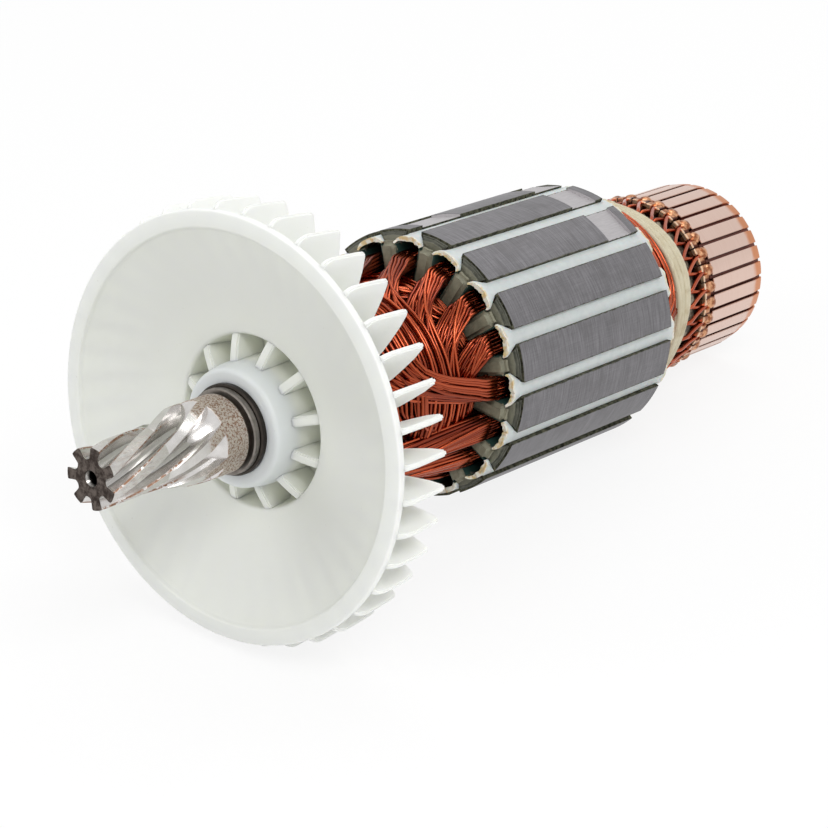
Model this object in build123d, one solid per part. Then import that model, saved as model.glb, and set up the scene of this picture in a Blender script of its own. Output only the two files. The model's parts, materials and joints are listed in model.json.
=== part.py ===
from build123d import *
from math import atan, cos, degrees, pi, radians, sin, tan
import os

# Motor armature: a steel shaft with an integral helical pinion at one end, a moulded fan,
# a slotted laminated core with sixteen coils, and a moulded commutator with thirty-two bars.
# It lies on its fan blades and the end of its core, as it comes to rest on a table.
#
# Every piece is drawn in the shaft's own frame: +Z runs along the shaft from the pinion to
# the commutator, Z 0 is the core's face on the fan side, and +X points away from the table.
# Angles are in degrees from +X towards +Y. All sizes are in millimetres.
# A "reach" is a distance from Z 0 towards the pinion.

# Core
core_diameter = 54.0
core_length = 50.0
slot_count = 16
slot_opening = 2.9
slot_bottom_radius = 14.5
tooth_width = 3.4
tooth_edge_thickness = 1.2
tooth_shoulder_height = 1.5
first_tooth_angle = 6.5
flat_depth = 0.7
# Balance flats: tooth number, start and end along the core
balance_flats = [(-1, 4.0, 16.0), (-1, 40.8, 50.5), (0, 39.6, 47.7), (1, 39.7, 47.9)]

# Shaft, from the pinion end to the commutator end
pinion_face_reach = 89.6
pinion_teeth = 7
pinion_tip_radius = 5.78
pinion_root_radius = 3.5
pinion_lead = 92.0
pinion_tip_land = 1.5
pinion_edge_break = 0.5
pinion_face_chamfer = 0.1
pinion_space_bottom = 1.5
pinion_fillet_rise = 0.25
flank_middle_rise = 1.35
flank_middle_spread = 0.45
space_flare = 0.8
first_pinion_angle = 7.8
taper_start_reach = 75.5
taper_end_reach = 66.5
scoop_start_reach = 70.0
scoop_end_reach = 62.2
scoop_middle_rise_share = 0.3
scoop_middle_run_share = 0.56
scoop_overrun = 0.8
scoop_overrun_length = 0.45
centre_hole_radius = 0.9
centre_hole_mouth_radius = 1.6
centre_hole_mouth_depth = 1.2
centre_hole_depth = 4.5
centre_hole_tip = 0.5
seat_radius = 7.5
seat_end_reach = 57.0
groove_radius = 7.0
groove_end_reach = 54.9
fan_seat_radius = 7.75
fan_seat_end_reach = 33.0
core_shaft_radius = 6.5
commutator_shaft_radius = 6.0
commutator_shaft_reach = 3.4
journal_radius = 5.0
journal_length = 10.0
journal_chamfer = 0.6

# Rings in front of the fan
retaining_ring_radius = 8.2
retaining_ring_thickness = 1.1
retaining_ring_edge = 0.25
bush_radius = 8.7
bush_front_reach = 54.6
bush_rear_reach = 34.0
bush_edge = 0.3
ring_gap = 0.1

# Fan
blade_count = 39
blade_tip_radius = 41.5
blade_belly_radius = 42.3
blade_rear_reach = 42.0
blade_front_reach = 54.2
blade_tip_thickness = 1.0
blade_middle_thickness = 2.4
blade_middle_inset = 10.0
blade_root_thickness = 1.6
blade_lean = 12.5
blade_inner_radius = 21.0
blade_corner_radius = 31.0
blade_root_height = 1.5
blade_nose_inset = 0.6
blade_nose_length = 3.0
fan_ring_radius = 41.1
fan_ring_front_reach = 55.3
fan_ring_fall = 0.3
fan_ring_rear_reach = 53.5
fan_ring_edge = 0.4
dish_rim_radius = 37.5
dish_rim_reach = 54.6
dish_lip = 0.3
dish_middle_radius = 28.0
dish_middle_reach = 50.7
dish_opening_radius = 16.7
dish_opening_reach = 48.1
dish_wall = 1.8
hub_front_radius = 11.3
hub_front_reach = 53.4
hub_root_radius = 11.9
hub_root_reach = 49.6
hub_edge = 0.7
hub_draft = 0.2
hub_rear_reach = 36.0
hub_foot_wall = 1.5
hub_rear_wall = 0.5
pocket_floor_reach = 42.0
fan_web = 2.0
rib_count = 12
rib_width = 2.0
rib_sink = 0.8
first_rib_angle = 12.1

# Insulation
sleeve_wall = 2.0
sleeve_front_reach = 31.0
sleeve_rear_reach = 21.6
end_insulator_radius = 25.2
end_insulator_thickness = 3.2
end_collar_wall = 1.1
liner_thickness = 0.25
liner_overhang = 2.5
wedge_top_radius = 26.2
wedge_bottom_radius = 23.4
wedge_overhang = 3.0
arch_haunch_radius = 25.4
arch_spread = 0.3
arch_wall = 0.5
arch_crown_half_width = 0.9
fit_gap = 0.05

# Winding: eight layers of two opposite coils at each end
coil_span = 7
last_wound_coil = 4
leg_inner_radius = 15.0
leg_split_radius = 19.0
leg_outer_radius = 23.1
leg_gap = 0.1
turns_gap = 0.4
collar_gap = 0.3
turn_middle_radius = 20.0
front_layer_height = 3.1
rear_layer_height = 1.9
# How far out between the legs' two limits, and how much of the layers' height is left there
front_bulge = [(0.0, 0.97), (0.37, 0.82), (0.62, 0.62), (0.86, 0.30), (1.0, 0.12)]
rear_shoulder_radius = 20.4
rear_edge_radius = 19.2
rear_edge_length = 2.4
lacing_thickness = 1.5
lacing_start = 11.0
lacing_length = 5.4
lacing_edge = 0.4
lacing_edge_length = 0.8
wire_diameter = 0.8
lead_end_gap = 0.4
lead_side_gap = 0.1
over_lead_swing = 10.0
under_lead_swing = 1.5

# Commutator
bar_count = 32
bar_gap = 0.7
bar_radius = 18.6
bar_inner_radius = 14.6
bar_front = 74.2
bar_face_start = 78.9
bar_end = 98.6
bar_taper_length = 3.8
bar_taper_depth = 0.5
bar_edge = 0.4
bar_step_radius = 17.2
bar_foot_radius = 12.6
bar_foot_inset = 5.0
bar_foot_slope = 1.5
hook_front = 74.4
hook_end = 78.6
hook_radius = 19.5
hook_width = 2.2
hook_thickness = 0.75
hook_heel = 1.15
hook_edge = 0.3
hook_sink = 0.2
first_gap_angle = 4.25
moulding_radius = 17.7
moulding_step_radius = 16.5
moulding_front = 73.4
moulding_end = 96.8
moulding_recess = 0.6
commutator_bush_radius = 8.2
cement_front_radius = 18.3
cement_rear_radius = 17.3
cement_gap = 0.2

# How far a cutter runs past the face that it cuts
overcut = 1.0

# Sizes that follow from the ones above
core_radius = core_diameter / 2
slot_pitch = 360 / slot_count
tooth_edge_radius = core_radius - tooth_edge_thickness
shoulder_radius = tooth_edge_radius - tooth_shoulder_height
first_slot_angle = first_tooth_angle + slot_pitch / 2
sleeve_radius = core_shaft_radius + sleeve_wall
end_collar_radius = sleeve_radius + end_collar_wall
layer_count = slot_count // 2
front_turns_start = -(end_insulator_thickness + turns_gap)
front_turns_end = front_turns_start - layer_count * front_layer_height
rear_turns_start = core_length + end_insulator_thickness
rear_turns_end = rear_turns_start + layer_count * rear_layer_height
turn_inner_radius = end_collar_radius + collar_gap
turn_limit_radius = leg_outer_radius + leg_gap
lacing_end = lacing_start + lacing_length
journal_start = bar_end + commutator_shaft_reach
shaft_end = journal_start + journal_length
blade_pitch = 360 / blade_count
first_blade_angle = 180 - blade_pitch / 2
bar_pitch = 360 / bar_count

# The table touches the two lowest blade tips and the rim of the core's last lamination
tip_half_angle = degrees(blade_tip_thickness / 2 / blade_tip_radius)
lowest_tip = blade_tip_radius * cos(radians(blade_pitch / 2 - tip_half_angle))
rest_tilt = degrees(atan((lowest_tip - core_radius) / (core_length + blade_rear_reach)))

os.makedirs("parts", exist_ok=True)


def turned(points):
    """A solid of revolution about the shaft from (radius, height) points."""
    face = Plane.XZ * make_face(Polyline(*points, close=True))
    return revolve(face, axis=Axis.Z)


def turned_edges(edges):
    """The same from edges, for a section with arcs."""
    return revolve(Plane.XZ * make_face(edges), axis=Axis.Z)


def section(points, start, end):
    """A prism along the shaft from (x, y) points."""
    face = Pos(0, 0, start) * make_face(Polyline(*points, close=True))
    return extrude(face, amount=end - start, dir=(0, 0, 1))


def ring(inner, outer, start, end):
    return Pos(0, 0, start) * extrude(Circle(outer) - Circle(inner), amount=end - start)


def mirrored(points):
    """The points of one side of a shape followed by those of its other side."""
    return points + [(x, -y) for x, y in reversed(points)]


def radial_plate(points, width):
    """A plate standing on the shaft's axis from (radius, height) points."""
    face = Plane.XZ * make_face(Polyline(*points, close=True))
    return extrude(face, amount=width / 2, both=True)


def around(shape, angle):
    return Rot(0, 0, angle) * shape


def polar(radius, angle, height=0):
    return Vector(radius * cos(radians(angle)), radius * sin(radians(angle)), height)


def slot_half_width(radius):
    """Half the width of a slot between two parallel-sided teeth."""
    half_pitch = radians(slot_pitch / 2)
    return radius * tan(half_pitch) - tooth_width / 2 / cos(half_pitch)


def slot_sides(inner, outer, inset):
    """The outline between two radii of what lies in a slot, set in from its walls."""
    return mirrored([
        (inner, slot_half_width(inner) - inset),
        (outer, slot_half_width(outer) - inset),
    ])


def make_core():
    slot_outline = mirrored([
        (slot_bottom_radius, slot_half_width(slot_bottom_radius)),
        (shoulder_radius, slot_half_width(shoulder_radius)),
        (tooth_edge_radius, slot_opening / 2),
        (core_radius + overcut, slot_opening / 2),
    ])
    slot = section(slot_outline, -overcut, core_length + overcut)
    core = ring(sleeve_radius, core_radius, 0, core_length)
    core = core - [around(slot, first_slot_angle + i * slot_pitch) for i in range(slot_count)]
    pitch_width = 2 * core_radius * tan(radians(slot_pitch / 2))
    flats = []
    for tooth, start, end in balance_flats:
        block = Box(2 * overcut, pitch_width, end - start)
        centre = (core_radius - flat_depth + overcut, 0, (start + end) / 2)
        flats.append(around(Pos(*centre) * block, first_tooth_angle + tooth * slot_pitch))
    return core - flats


def make_end_insulator(face_height, direction, collar_reach):
    """A fibre disc in the shape of the laminations, with a collar round the shaft."""
    disc_end = face_height + direction * end_insulator_thickness
    collar_end = face_height + direction * collar_reach
    low, high = sorted((face_height, disc_end))
    sides = slot_sides(slot_bottom_radius, core_radius + overcut, 0)
    slot = section(sides, low - overcut, high + overcut)
    disc = ring(sleeve_radius, end_insulator_radius, low, high)
    disc = disc - [around(slot, first_slot_angle + i * slot_pitch) for i in range(slot_count)]
    return disc + ring(sleeve_radius, end_collar_radius, *sorted((face_height, collar_end)))


def make_slot_liners():
    start = -liner_overhang
    end = core_length + liner_overhang
    outer = section(slot_sides(slot_bottom_radius, shoulder_radius, 0), start, end)
    hollow = slot_sides(slot_bottom_radius + liner_thickness, shoulder_radius + overcut, liner_thickness)
    liner = outer - section(hollow, start - overcut, end + overcut)
    return Compound([around(liner, first_slot_angle + i * slot_pitch) for i in range(slot_count)])


def make_wedge():
    """A slot closing strip with its ends flared into small arches."""
    inset = liner_thickness + fit_gap
    top = slot_opening / 2 - fit_gap
    mouth = slot_half_width(wedge_bottom_radius) - inset
    strip = section(mirrored([
        (wedge_bottom_radius, mouth),
        (shoulder_radius - fit_gap, slot_half_width(shoulder_radius) - inset),
        (tooth_edge_radius - fit_gap, top),
        (wedge_top_radius, top),
    ]), 0, core_length)
    arch_outline = mirrored([
        (wedge_bottom_radius, mouth),
        (shoulder_radius, slot_half_width(shoulder_radius) - inset),
        (arch_haunch_radius, slot_half_width(end_insulator_radius) - inset),
        (wedge_top_radius, top + arch_spread),
    ])
    underside = mirrored([
        (wedge_bottom_radius - overcut, mouth - arch_wall),
        (wedge_bottom_radius + fit_gap, mouth - arch_wall),
        (shoulder_radius, arch_crown_half_width),
    ])
    for start, end in ((-wedge_overhang, 0), (core_length, core_length + wedge_overhang)):
        strip = strip + (section(arch_outline, start, end) - section(underside, start - overcut, end + overcut))
    return strip


def pinion_space():
    """The space between two teeth: rounded bottom, curved flanks, flared past the tips."""
    half_tip = pi * pinion_tip_radius / pinion_teeth - pinion_tip_land / 2
    half_bottom = pinion_space_bottom / 2
    low = (pinion_root_radius + pinion_fillet_rise, half_bottom)
    middle = (pinion_root_radius + flank_middle_rise, half_bottom + flank_middle_spread)
    shoulder = (pinion_tip_radius - pinion_edge_break, half_tip - pinion_edge_break)
    lip = (pinion_tip_radius, half_tip)
    outer = (seat_radius + overcut, half_tip + space_flare)
    other = [(x, -y) for x, y in (low, middle, shoulder, lip, outer)]
    return make_face([
        ThreePointArc(other[0], (pinion_root_radius, 0), low),
        ThreePointArc(low, middle, shoulder),
        Polyline(shoulder, lip, outer, other[4], other[3], other[2]),
        ThreePointArc(other[2], other[1], other[0]),
    ])


def pinion_cutter():
    """A helical space whose floor lifts out of the work along an arc, as a scooped run-out."""
    start = -pinion_face_reach - overcut
    end = -scoop_end_reach + 2 * overcut
    twist = -360 * (end - start) / pinion_lead
    profile = (Pos(0, 0, start) * pinion_space()).face()
    screw = Solid.extrude_linear_with_rotation(profile, (0, 0, start), (0, 0, end - start), twist)
    clear = pinion_root_radius - pinion_fillet_rise
    scoop_start = (clear, -scoop_start_reach)
    scoop_middle = (
        clear + scoop_middle_rise_share * (seat_radius - clear),
        -scoop_start_reach + scoop_middle_run_share * (scoop_start_reach - scoop_end_reach),
    )
    # The arc runs on past the seat's surface, so that it leaves the steel at a clear angle
    scoop_end = (seat_radius + scoop_overrun, -scoop_end_reach + scoop_overrun_length)
    floor = turned_edges([
        Polyline((0, start), (clear, start), scoop_start),
        ThreePointArc(scoop_start, scoop_middle, scoop_end),
        Polyline(
            scoop_end,
            (seat_radius + 2 * overcut, scoop_end[1]),
            (seat_radius + 2 * overcut, end + overcut),
            (0, end + overcut),
            (0, start),
        ),
    ])
    return screw - floor


def make_shaft():
    """The shaft with its pinion: a stepped turning, seven helical spaces and a centre hole."""
    shaft = turned([
        (0, -pinion_face_reach),
        (pinion_tip_radius - pinion_face_chamfer, -pinion_face_reach),
        (pinion_tip_radius, -pinion_face_reach + pinion_face_chamfer),
        (pinion_tip_radius, -taper_start_reach),
        (seat_radius, -taper_end_reach),
        (seat_radius, -seat_end_reach),
        (groove_radius, -seat_end_reach),
        (groove_radius, -groove_end_reach),
        (fan_seat_radius, -groove_end_reach),
        (fan_seat_radius, -fan_seat_end_reach),
        (core_shaft_radius, -fan_seat_end_reach),
        (core_shaft_radius, core_length + sleeve_rear_reach),
        (commutator_shaft_radius, core_length + sleeve_rear_reach),
        (commutator_shaft_radius, journal_start),
        (journal_radius, journal_start),
        (journal_radius, shaft_end - journal_chamfer),
        (journal_radius - journal_chamfer, shaft_end),
        (0, shaft_end),
    ])
    cutter = pinion_cutter()
    # The cutter starts clear of the end face, where its spaces are turned that much further
    start_angle = first_pinion_angle + 180 / pinion_teeth + 360 * overcut / pinion_lead
    for i in range(pinion_teeth):
        shaft = shaft - around(cutter, start_angle + i * 360 / pinion_teeth)
    mouth_slope = (centre_hole_mouth_radius - centre_hole_radius) / centre_hole_mouth_depth
    hole = turned([
        (0, -pinion_face_reach - overcut),
        (centre_hole_mouth_radius + overcut * mouth_slope, -pinion_face_reach - overcut),
        (centre_hole_radius, -pinion_face_reach + centre_hole_mouth_depth),
        (centre_hole_radius, -pinion_face_reach + centre_hole_depth),
        (0, -pinion_face_reach + centre_hole_depth + centre_hole_tip),
    ])
    return shaft - hole


def make_retaining_ring():
    front = -groove_end_reach - retaining_ring_thickness
    rear = -bush_front_reach - ring_gap
    return turned([
        (groove_radius, front),
        (retaining_ring_radius - retaining_ring_edge, front),
        (retaining_ring_radius, front + retaining_ring_edge),
        (retaining_ring_radius, rear),
        (fan_seat_radius, rear),
        (fan_seat_radius, -groove_end_reach),
        (groove_radius, -groove_end_reach),
    ])


def make_fan_bush():
    return turned([
        (fan_seat_radius, -bush_front_reach),
        (bush_radius - bush_edge, -bush_front_reach),
        (bush_radius, -bush_front_reach + bush_edge),
        (bush_radius, -bush_rear_reach),
        (fan_seat_radius, -bush_rear_reach),
    ])


def fan_body():
    """Hub, pocketed web, concave dish and flat rim, turned as one section."""
    pocket_wall_radius = dish_opening_radius + dish_wall
    web_rear = -pocket_floor_reach + fan_web
    front = [
        (bush_radius, -hub_front_reach),
        (hub_front_radius - hub_edge, -hub_front_reach),
        (hub_front_radius, -hub_front_reach + hub_edge),
        (hub_root_radius, -hub_root_reach),
        (hub_root_radius + hub_draft, -pocket_floor_reach),
        (dish_opening_radius, -pocket_floor_reach),
        (dish_opening_radius, -dish_opening_reach),
    ]
    rim = [
        (dish_rim_radius, -dish_rim_reach),
        (dish_rim_radius + dish_lip, -fan_ring_front_reach),
        (fan_ring_radius - fan_ring_edge, -fan_ring_front_reach + fan_ring_fall),
        (fan_ring_radius, -fan_ring_front_reach + fan_ring_fall + fan_ring_edge),
        (fan_ring_radius, -fan_ring_rear_reach),
        (dish_rim_radius, -dish_rim_reach + dish_wall),
    ]
    rear = [
        (pocket_wall_radius, -dish_opening_reach + dish_wall),
        (pocket_wall_radius, web_rear),
        (hub_root_radius + hub_foot_wall, web_rear),
        (hub_root_radius + hub_rear_wall, -hub_rear_reach),
        (bush_radius, -hub_rear_reach),
        front[0],
    ]
    return turned_edges([
        Polyline(*front),
        ThreePointArc(front[-1], (dish_middle_radius, -dish_middle_reach), rim[0]),
        Polyline(*rim),
        ThreePointArc(rim[-1], (dish_middle_radius, -dish_middle_reach + dish_wall), rear[0]),
        Polyline(*rear),
    ])


def make_blade():
    """One leaning plate, thickest behind the rim, trimmed to the sweep of the blades."""
    outline = mirrored([
        (blade_belly_radius + 2 * overcut, blade_tip_thickness / 2),
        (blade_tip_radius, blade_tip_thickness / 2),
        (blade_tip_radius - blade_middle_inset, blade_middle_thickness / 2),
        (blade_inner_radius - 2 * overcut, blade_root_thickness / 2),
    ])
    plate = section(outline, -blade_front_reach - overcut, -blade_rear_reach + overcut)
    leaning = Pos(blade_tip_radius, 0, 0) * Rot(0, 0, -blade_lean) * Pos(-blade_tip_radius, 0, 0) * plate
    # The nose curves in from the blade's outer edge and starts inside the rim
    nose_start = (fan_ring_radius - blade_nose_inset, -blade_front_reach)
    nose_end = (blade_belly_radius, -blade_front_reach + blade_nose_length)
    tip = (blade_tip_radius, -blade_rear_reach)
    edge_direction = (nose_end[0] - tip[0], nose_end[1] - tip[1])
    sweep = turned_edges([
        TangentArc(nose_end, nose_start, tangent=edge_direction),
        Polyline(
            nose_end,
            tip,
            (blade_corner_radius, -blade_rear_reach),
            (blade_inner_radius, -dish_opening_reach + dish_wall + blade_root_height),
            (blade_inner_radius, -dish_opening_reach + dish_wall / 2),
            (dish_middle_radius, -dish_middle_reach + dish_wall / 2),
            (dish_rim_radius, -dish_rim_reach + dish_wall / 2),
            nose_start,
        ),
    ])
    return leaning & sweep


def make_fan():
    rib = radial_plate([
        (hub_root_radius - rib_sink, -hub_root_reach),
        (hub_root_radius, -hub_root_reach),
        (dish_opening_radius + rib_sink, -dish_opening_reach),
        (dish_opening_radius + rib_sink, -pocket_floor_reach + fan_web / 2),
        (hub_root_radius - rib_sink, -pocket_floor_reach + fan_web / 2),
    ], rib_width)
    blade = make_blade()
    pieces = [around(rib, first_rib_angle + i * 360 / rib_count) for i in range(rib_count)]
    pieces += [around(blade, first_blade_angle + i * blade_pitch) for i in range(blade_count)]
    return fan_body() + pieces


def front_boundary(layer, shift):
    """The bulging surface that lies under one layer of the front end turns."""
    depth = layer * front_layer_height
    points = [(turn_inner_radius, front_turns_start - depth + shift)]
    for part, share in front_bulge:
        radius = leg_inner_radius + part * (turn_limit_radius - leg_inner_radius)
        points.append((radius, front_turns_start - depth * share + shift))
    return points


def coil_envelope(layer):
    """What a coil of one layer may fill: domed in front, drawn in behind for the lacing."""
    return turned(front_boundary(layer + 1, leg_gap) + [
        (turn_limit_radius, rear_turns_start - leg_gap),
        (rear_shoulder_radius, core_length + lacing_start - leg_gap),
        (rear_shoulder_radius, rear_turns_end - rear_edge_length),
        (rear_edge_radius, rear_turns_end),
        (turn_inner_radius, rear_turns_end),
    ])


def turn_plan(start_radius, end_radius, layer):
    """An end turn seen along the shaft: it leaves one slot, bends round the shaft and enters another."""
    span = coil_span * slot_pitch
    outer_start = polar(start_radius, 0)
    outer_end = polar(end_radius, span)
    inner_start = polar(turn_inner_radius, 0)
    inner_end = polar(turn_inner_radius, span)
    plan = make_face([
        ThreePointArc(outer_start, polar(turn_middle_radius, span / 2), outer_end),
        Line(outer_end, inner_end),
        ThreePointArc(inner_end, polar(turn_inner_radius, span / 2), inner_start),
        Line(inner_start, outer_start),
    ])
    if layer < layer_count - 1:
        # Legs of the coils that are wound later pass through, so the turn leaves them room
        sides = slot_sides(leg_inner_radius - leg_gap, leg_outer_radius + overcut, liner_thickness)
        passing = make_face(Polyline(*sides, close=True))
        plan = plan - [around(passing, i * slot_pitch) for i in range(1, coil_span)]
    return plan


def make_coil(number):
    """One coil: two legs in their slots and an end turn at each end, in its own layer."""
    layer = (last_wound_coil - 1 - number) % layer_count
    inner = (leg_inner_radius, leg_split_radius - leg_gap)
    outer = (leg_split_radius + leg_gap, leg_outer_radius)
    # A coil shares each slot with one neighbour: the one that is wound first lies inside
    first = inner if layer == 0 else outer
    second = outer if layer == layer_count - 1 else inner
    plan = turn_plan(first[1], second[1], layer)
    depth = front_turns_start - front_turns_end
    shell = turned(front_boundary(layer, -leg_gap) + front_boundary(layer + 1, leg_gap)[::-1])
    front_turn = Pos(0, 0, front_turns_end) * extrude(plan, amount=depth) & shell
    rear = rear_turns_start + layer * rear_layer_height
    rear_turn = Pos(0, 0, rear + leg_gap) * extrude(plan, amount=rear_layer_height - 2 * leg_gap)
    inset = liner_thickness + leg_gap
    leg_end = rear + rear_layer_height - leg_gap
    legs = [
        section(slot_sides(*first, inset), front_turns_end, leg_end),
        around(section(slot_sides(*second, inset), front_turns_end, leg_end), coil_span * slot_pitch),
    ]
    coil = (front_turn + rear_turn + legs) & coil_envelope(layer)
    return around(coil, first_slot_angle + number * slot_pitch)


def make_lacing():
    start = core_length + lacing_start
    end = core_length + lacing_end
    inner = rear_shoulder_radius + fit_gap
    outer = inner + lacing_thickness
    return turned([
        (inner, start),
        (outer - lacing_edge, start),
        (outer, start + lacing_edge_length),
        (outer, end - lacing_edge_length),
        (outer - lacing_edge, end),
        (inner, end),
    ])


def straight_wire(start, end):
    run = end - start
    return Plane(origin=start, z_dir=run) * extrude(Circle(wire_diameter / 2), amount=run.length)


def make_leads():
    """Two coil ends for each hook: one leans across from the lacing, one lies along the filling."""
    wires = []
    hook_angle = first_gap_angle + bar_pitch / 2
    side = wire_diameter / 2 + lead_side_gap
    over_start = core_length + lacing_end + lead_end_gap
    under_start = rear_turns_end + lead_end_gap
    end = hook_front - lead_end_gap
    for i in range(bar_count):
        angle = hook_angle + i * bar_pitch
        over = polar(rear_shoulder_radius + side, angle + over_lead_swing, over_start)
        under = polar(cement_front_radius + side, angle - under_lead_swing, under_start)
        wires.append(straight_wire(over, polar(hook_radius - side, angle, end)))
        wires.append(straight_wire(under, polar(cement_rear_radius + side, angle, end)))
    return Compound(wires)


def make_cement():
    """The varnished filling between the end turns and the hooks, under the leads."""
    start = rear_turns_end + fit_gap
    return turned([
        (end_collar_radius, start),
        (cement_front_radius, start),
        (cement_rear_radius, bar_front - cement_gap),
        (bar_inner_radius, bar_front - cement_gap),
        (bar_inner_radius, moulding_front - cement_gap),
        (end_collar_radius, moulding_front - cement_gap),
    ])


def bar_half_width(radius):
    half_pitch = radians(bar_pitch / 2)
    return radius * tan(half_pitch) - bar_gap / 2 / cos(half_pitch)


def make_bar():
    """One commutator segment with its folded hook and dovetail foot."""
    inner = bar_foot_radius - overcut
    outer = hook_radius + overcut
    wedge = section(mirrored([
        (inner, bar_half_width(inner)),
        (outer, bar_half_width(outer)),
    ]), bar_front - overcut, bar_end + overcut)
    body = turned([
        (bar_inner_radius, bar_front),
        (bar_step_radius, bar_front),
        (bar_step_radius, bar_face_start),
        (bar_radius, bar_face_start),
        (bar_radius, bar_end - bar_taper_length),
        (bar_radius - bar_taper_depth, bar_end - bar_edge),
        (bar_radius - bar_taper_depth - bar_edge, bar_end),
        (bar_inner_radius, bar_end),
        (bar_inner_radius, bar_end - bar_foot_inset - bar_foot_slope),
        (bar_foot_radius, bar_end - bar_foot_inset),
        (bar_foot_radius, bar_front + bar_foot_inset),
        (bar_inner_radius, bar_front + bar_foot_inset + bar_foot_slope),
    ])
    hook = radial_plate([
        (bar_step_radius - hook_sink, hook_front),
        (hook_radius - hook_edge, hook_front),
        (hook_radius, hook_front + hook_edge),
        (hook_radius, hook_end - 2 * hook_edge),
        (hook_radius - 2 * hook_edge, hook_end + hook_sink),
        (bar_radius - hook_sink, bar_face_start + hook_sink),
        (bar_step_radius - hook_sink, bar_face_start + hook_sink),
    ], hook_width)
    tunnel = radial_plate([
        (bar_step_radius, hook_front + hook_thickness),
        (hook_radius - hook_thickness, hook_front + hook_thickness),
        (hook_radius - hook_thickness, hook_end - hook_heel),
        (bar_step_radius, hook_end - hook_heel),
    ], hook_width + overcut)
    return (wedge & body) + (hook - tunnel)


def make_commutator_moulding(bars):
    """The phenolic body, which fills the gaps between the bars and holds their feet."""
    core = bar_inner_radius - moulding_recess
    shell = turned([
        (commutator_bush_radius, moulding_front),
        (core, moulding_front),
        (core, bar_front + cement_gap),
        (moulding_step_radius, bar_front + cement_gap),
        (moulding_step_radius, bar_face_start),
        (moulding_radius, bar_face_start),
        (moulding_radius, bar_end - moulding_recess),
        (core, bar_end - moulding_recess),
        (core - moulding_recess, moulding_end),
        (commutator_bush_radius, moulding_end),
    ])
    return shell - bars


# Every piece by its node name
bar = make_bar()
bar_angles = [first_gap_angle + (i + 0.5) * bar_pitch for i in range(bar_count)]
bars = [around(bar, angle) for angle in bar_angles]
rear_collar_reach = moulding_front - core_length - cement_gap
sleeve_end = core_length + sleeve_rear_reach - cement_gap
pieces = {
    "pinion_shaft": make_shaft(),
    "retaining_ring": make_retaining_ring(),
    "fan_bush": make_fan_bush(),
    "fan": make_fan(),
    "shaft_sleeve": ring(core_shaft_radius, sleeve_radius, -sleeve_front_reach, sleeve_end),
    "core_stack": make_core(),
    "front_end_insulator": make_end_insulator(0, -1, -front_turns_end),
    "rear_end_insulator": make_end_insulator(core_length, 1, rear_collar_reach),
    "slot_liners": make_slot_liners(),
    "winding_lacing": make_lacing(),
    "lead_wires": make_leads(),
    "lead_cement": make_cement(),
    "commutator_bars": Compound(bars),
    "commutator_moulding": make_commutator_moulding(bars),
    "commutator_bush": ring(commutator_shaft_radius, commutator_bush_radius, moulding_front, moulding_end),
}
wedge = make_wedge()
for i in range(slot_count):
    pieces[f"slot_wedge_{i + 1:02d}"] = around(wedge, first_slot_angle + i * slot_pitch)
    pieces[f"coil_{i + 1:02d}"] = make_coil(i)

# Lay the armature down: the shaft's +Z becomes the row's +Y, sloping down to the commutator
tilt = radians(rest_tilt)
lying = Plane(origin=(0, 0, 0), x_dir=(0, sin(tilt), cos(tilt)), z_dir=(0, cos(tilt), -sin(tilt)))
laid = {name: lying.location * shape for name, shape in pieces.items()}
box = Compound([solid for shape in laid.values() for solid in shape.solids()]).bounding_box()
lift = Pos(-box.center().X, -box.center().Y, -box.min.Z)
for name, shape in laid.items():
    export_step(lift * shape, f"parts/{name}.step")

print("tilt", round(rest_tilt, 4))
print("shaft frame origin", lift.position + lying.origin)
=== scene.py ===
import json
import random
from functools import reduce
from math import acos, atan2, cos, degrees, pi, radians, sin, sqrt, tan

import bmesh
import bpy
from mathutils import Matrix, Vector, noise


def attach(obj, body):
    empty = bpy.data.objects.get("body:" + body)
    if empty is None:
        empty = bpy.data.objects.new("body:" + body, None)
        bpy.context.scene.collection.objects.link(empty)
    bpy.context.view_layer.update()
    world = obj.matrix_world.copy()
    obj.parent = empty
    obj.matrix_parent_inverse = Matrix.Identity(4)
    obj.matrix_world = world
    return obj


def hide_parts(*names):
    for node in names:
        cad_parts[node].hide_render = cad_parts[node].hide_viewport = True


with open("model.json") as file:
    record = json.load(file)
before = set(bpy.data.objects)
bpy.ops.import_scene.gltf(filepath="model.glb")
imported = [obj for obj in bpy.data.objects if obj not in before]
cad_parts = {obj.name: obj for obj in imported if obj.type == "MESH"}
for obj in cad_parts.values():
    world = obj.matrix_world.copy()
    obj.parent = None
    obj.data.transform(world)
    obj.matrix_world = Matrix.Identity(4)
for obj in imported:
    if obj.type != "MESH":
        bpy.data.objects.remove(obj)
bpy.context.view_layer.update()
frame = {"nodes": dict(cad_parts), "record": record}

bl_info = {
    "name": "Motor Armature",
    "version": (1, 0, 0),
    "blender": (4, 5, 0),
    "location": "View3D > Sidebar > Armature",
    "description": "Dresses the armature of a universal motor: fan, winding, wedges, commutator and shaft",
    "category": "Object",
}

# Everything is drawn in the shaft's own frame, in millimetres: Z runs along the shaft from the
# pinion to the commutator, Z 0 is the core's face on the fan side, and X points away from the table.
MM = 0.001
MOUNTS = {mount["name"]: mount for mount in frame["record"]["mounts"]}
JOURNAL_HEIGHT = 106.7
JOURNAL = MOUNTS["commutator_end_journal"]
AXIS = Vector(JOURNAL["axis"])
ORIGIN = Vector(JOURNAL["pos_m"]) - AXIS * JOURNAL_HEIGHT * MM
SHAFT_TURN = Matrix(((0, -AXIS.z, AXIS.y), (1, 0, 0), AXIS)).transposed()
SHAFT_TO_ROW = Matrix.Translation(ORIGIN) @ SHAFT_TURN.to_4x4() @ Matrix.Scale(MM, 4)

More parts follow.
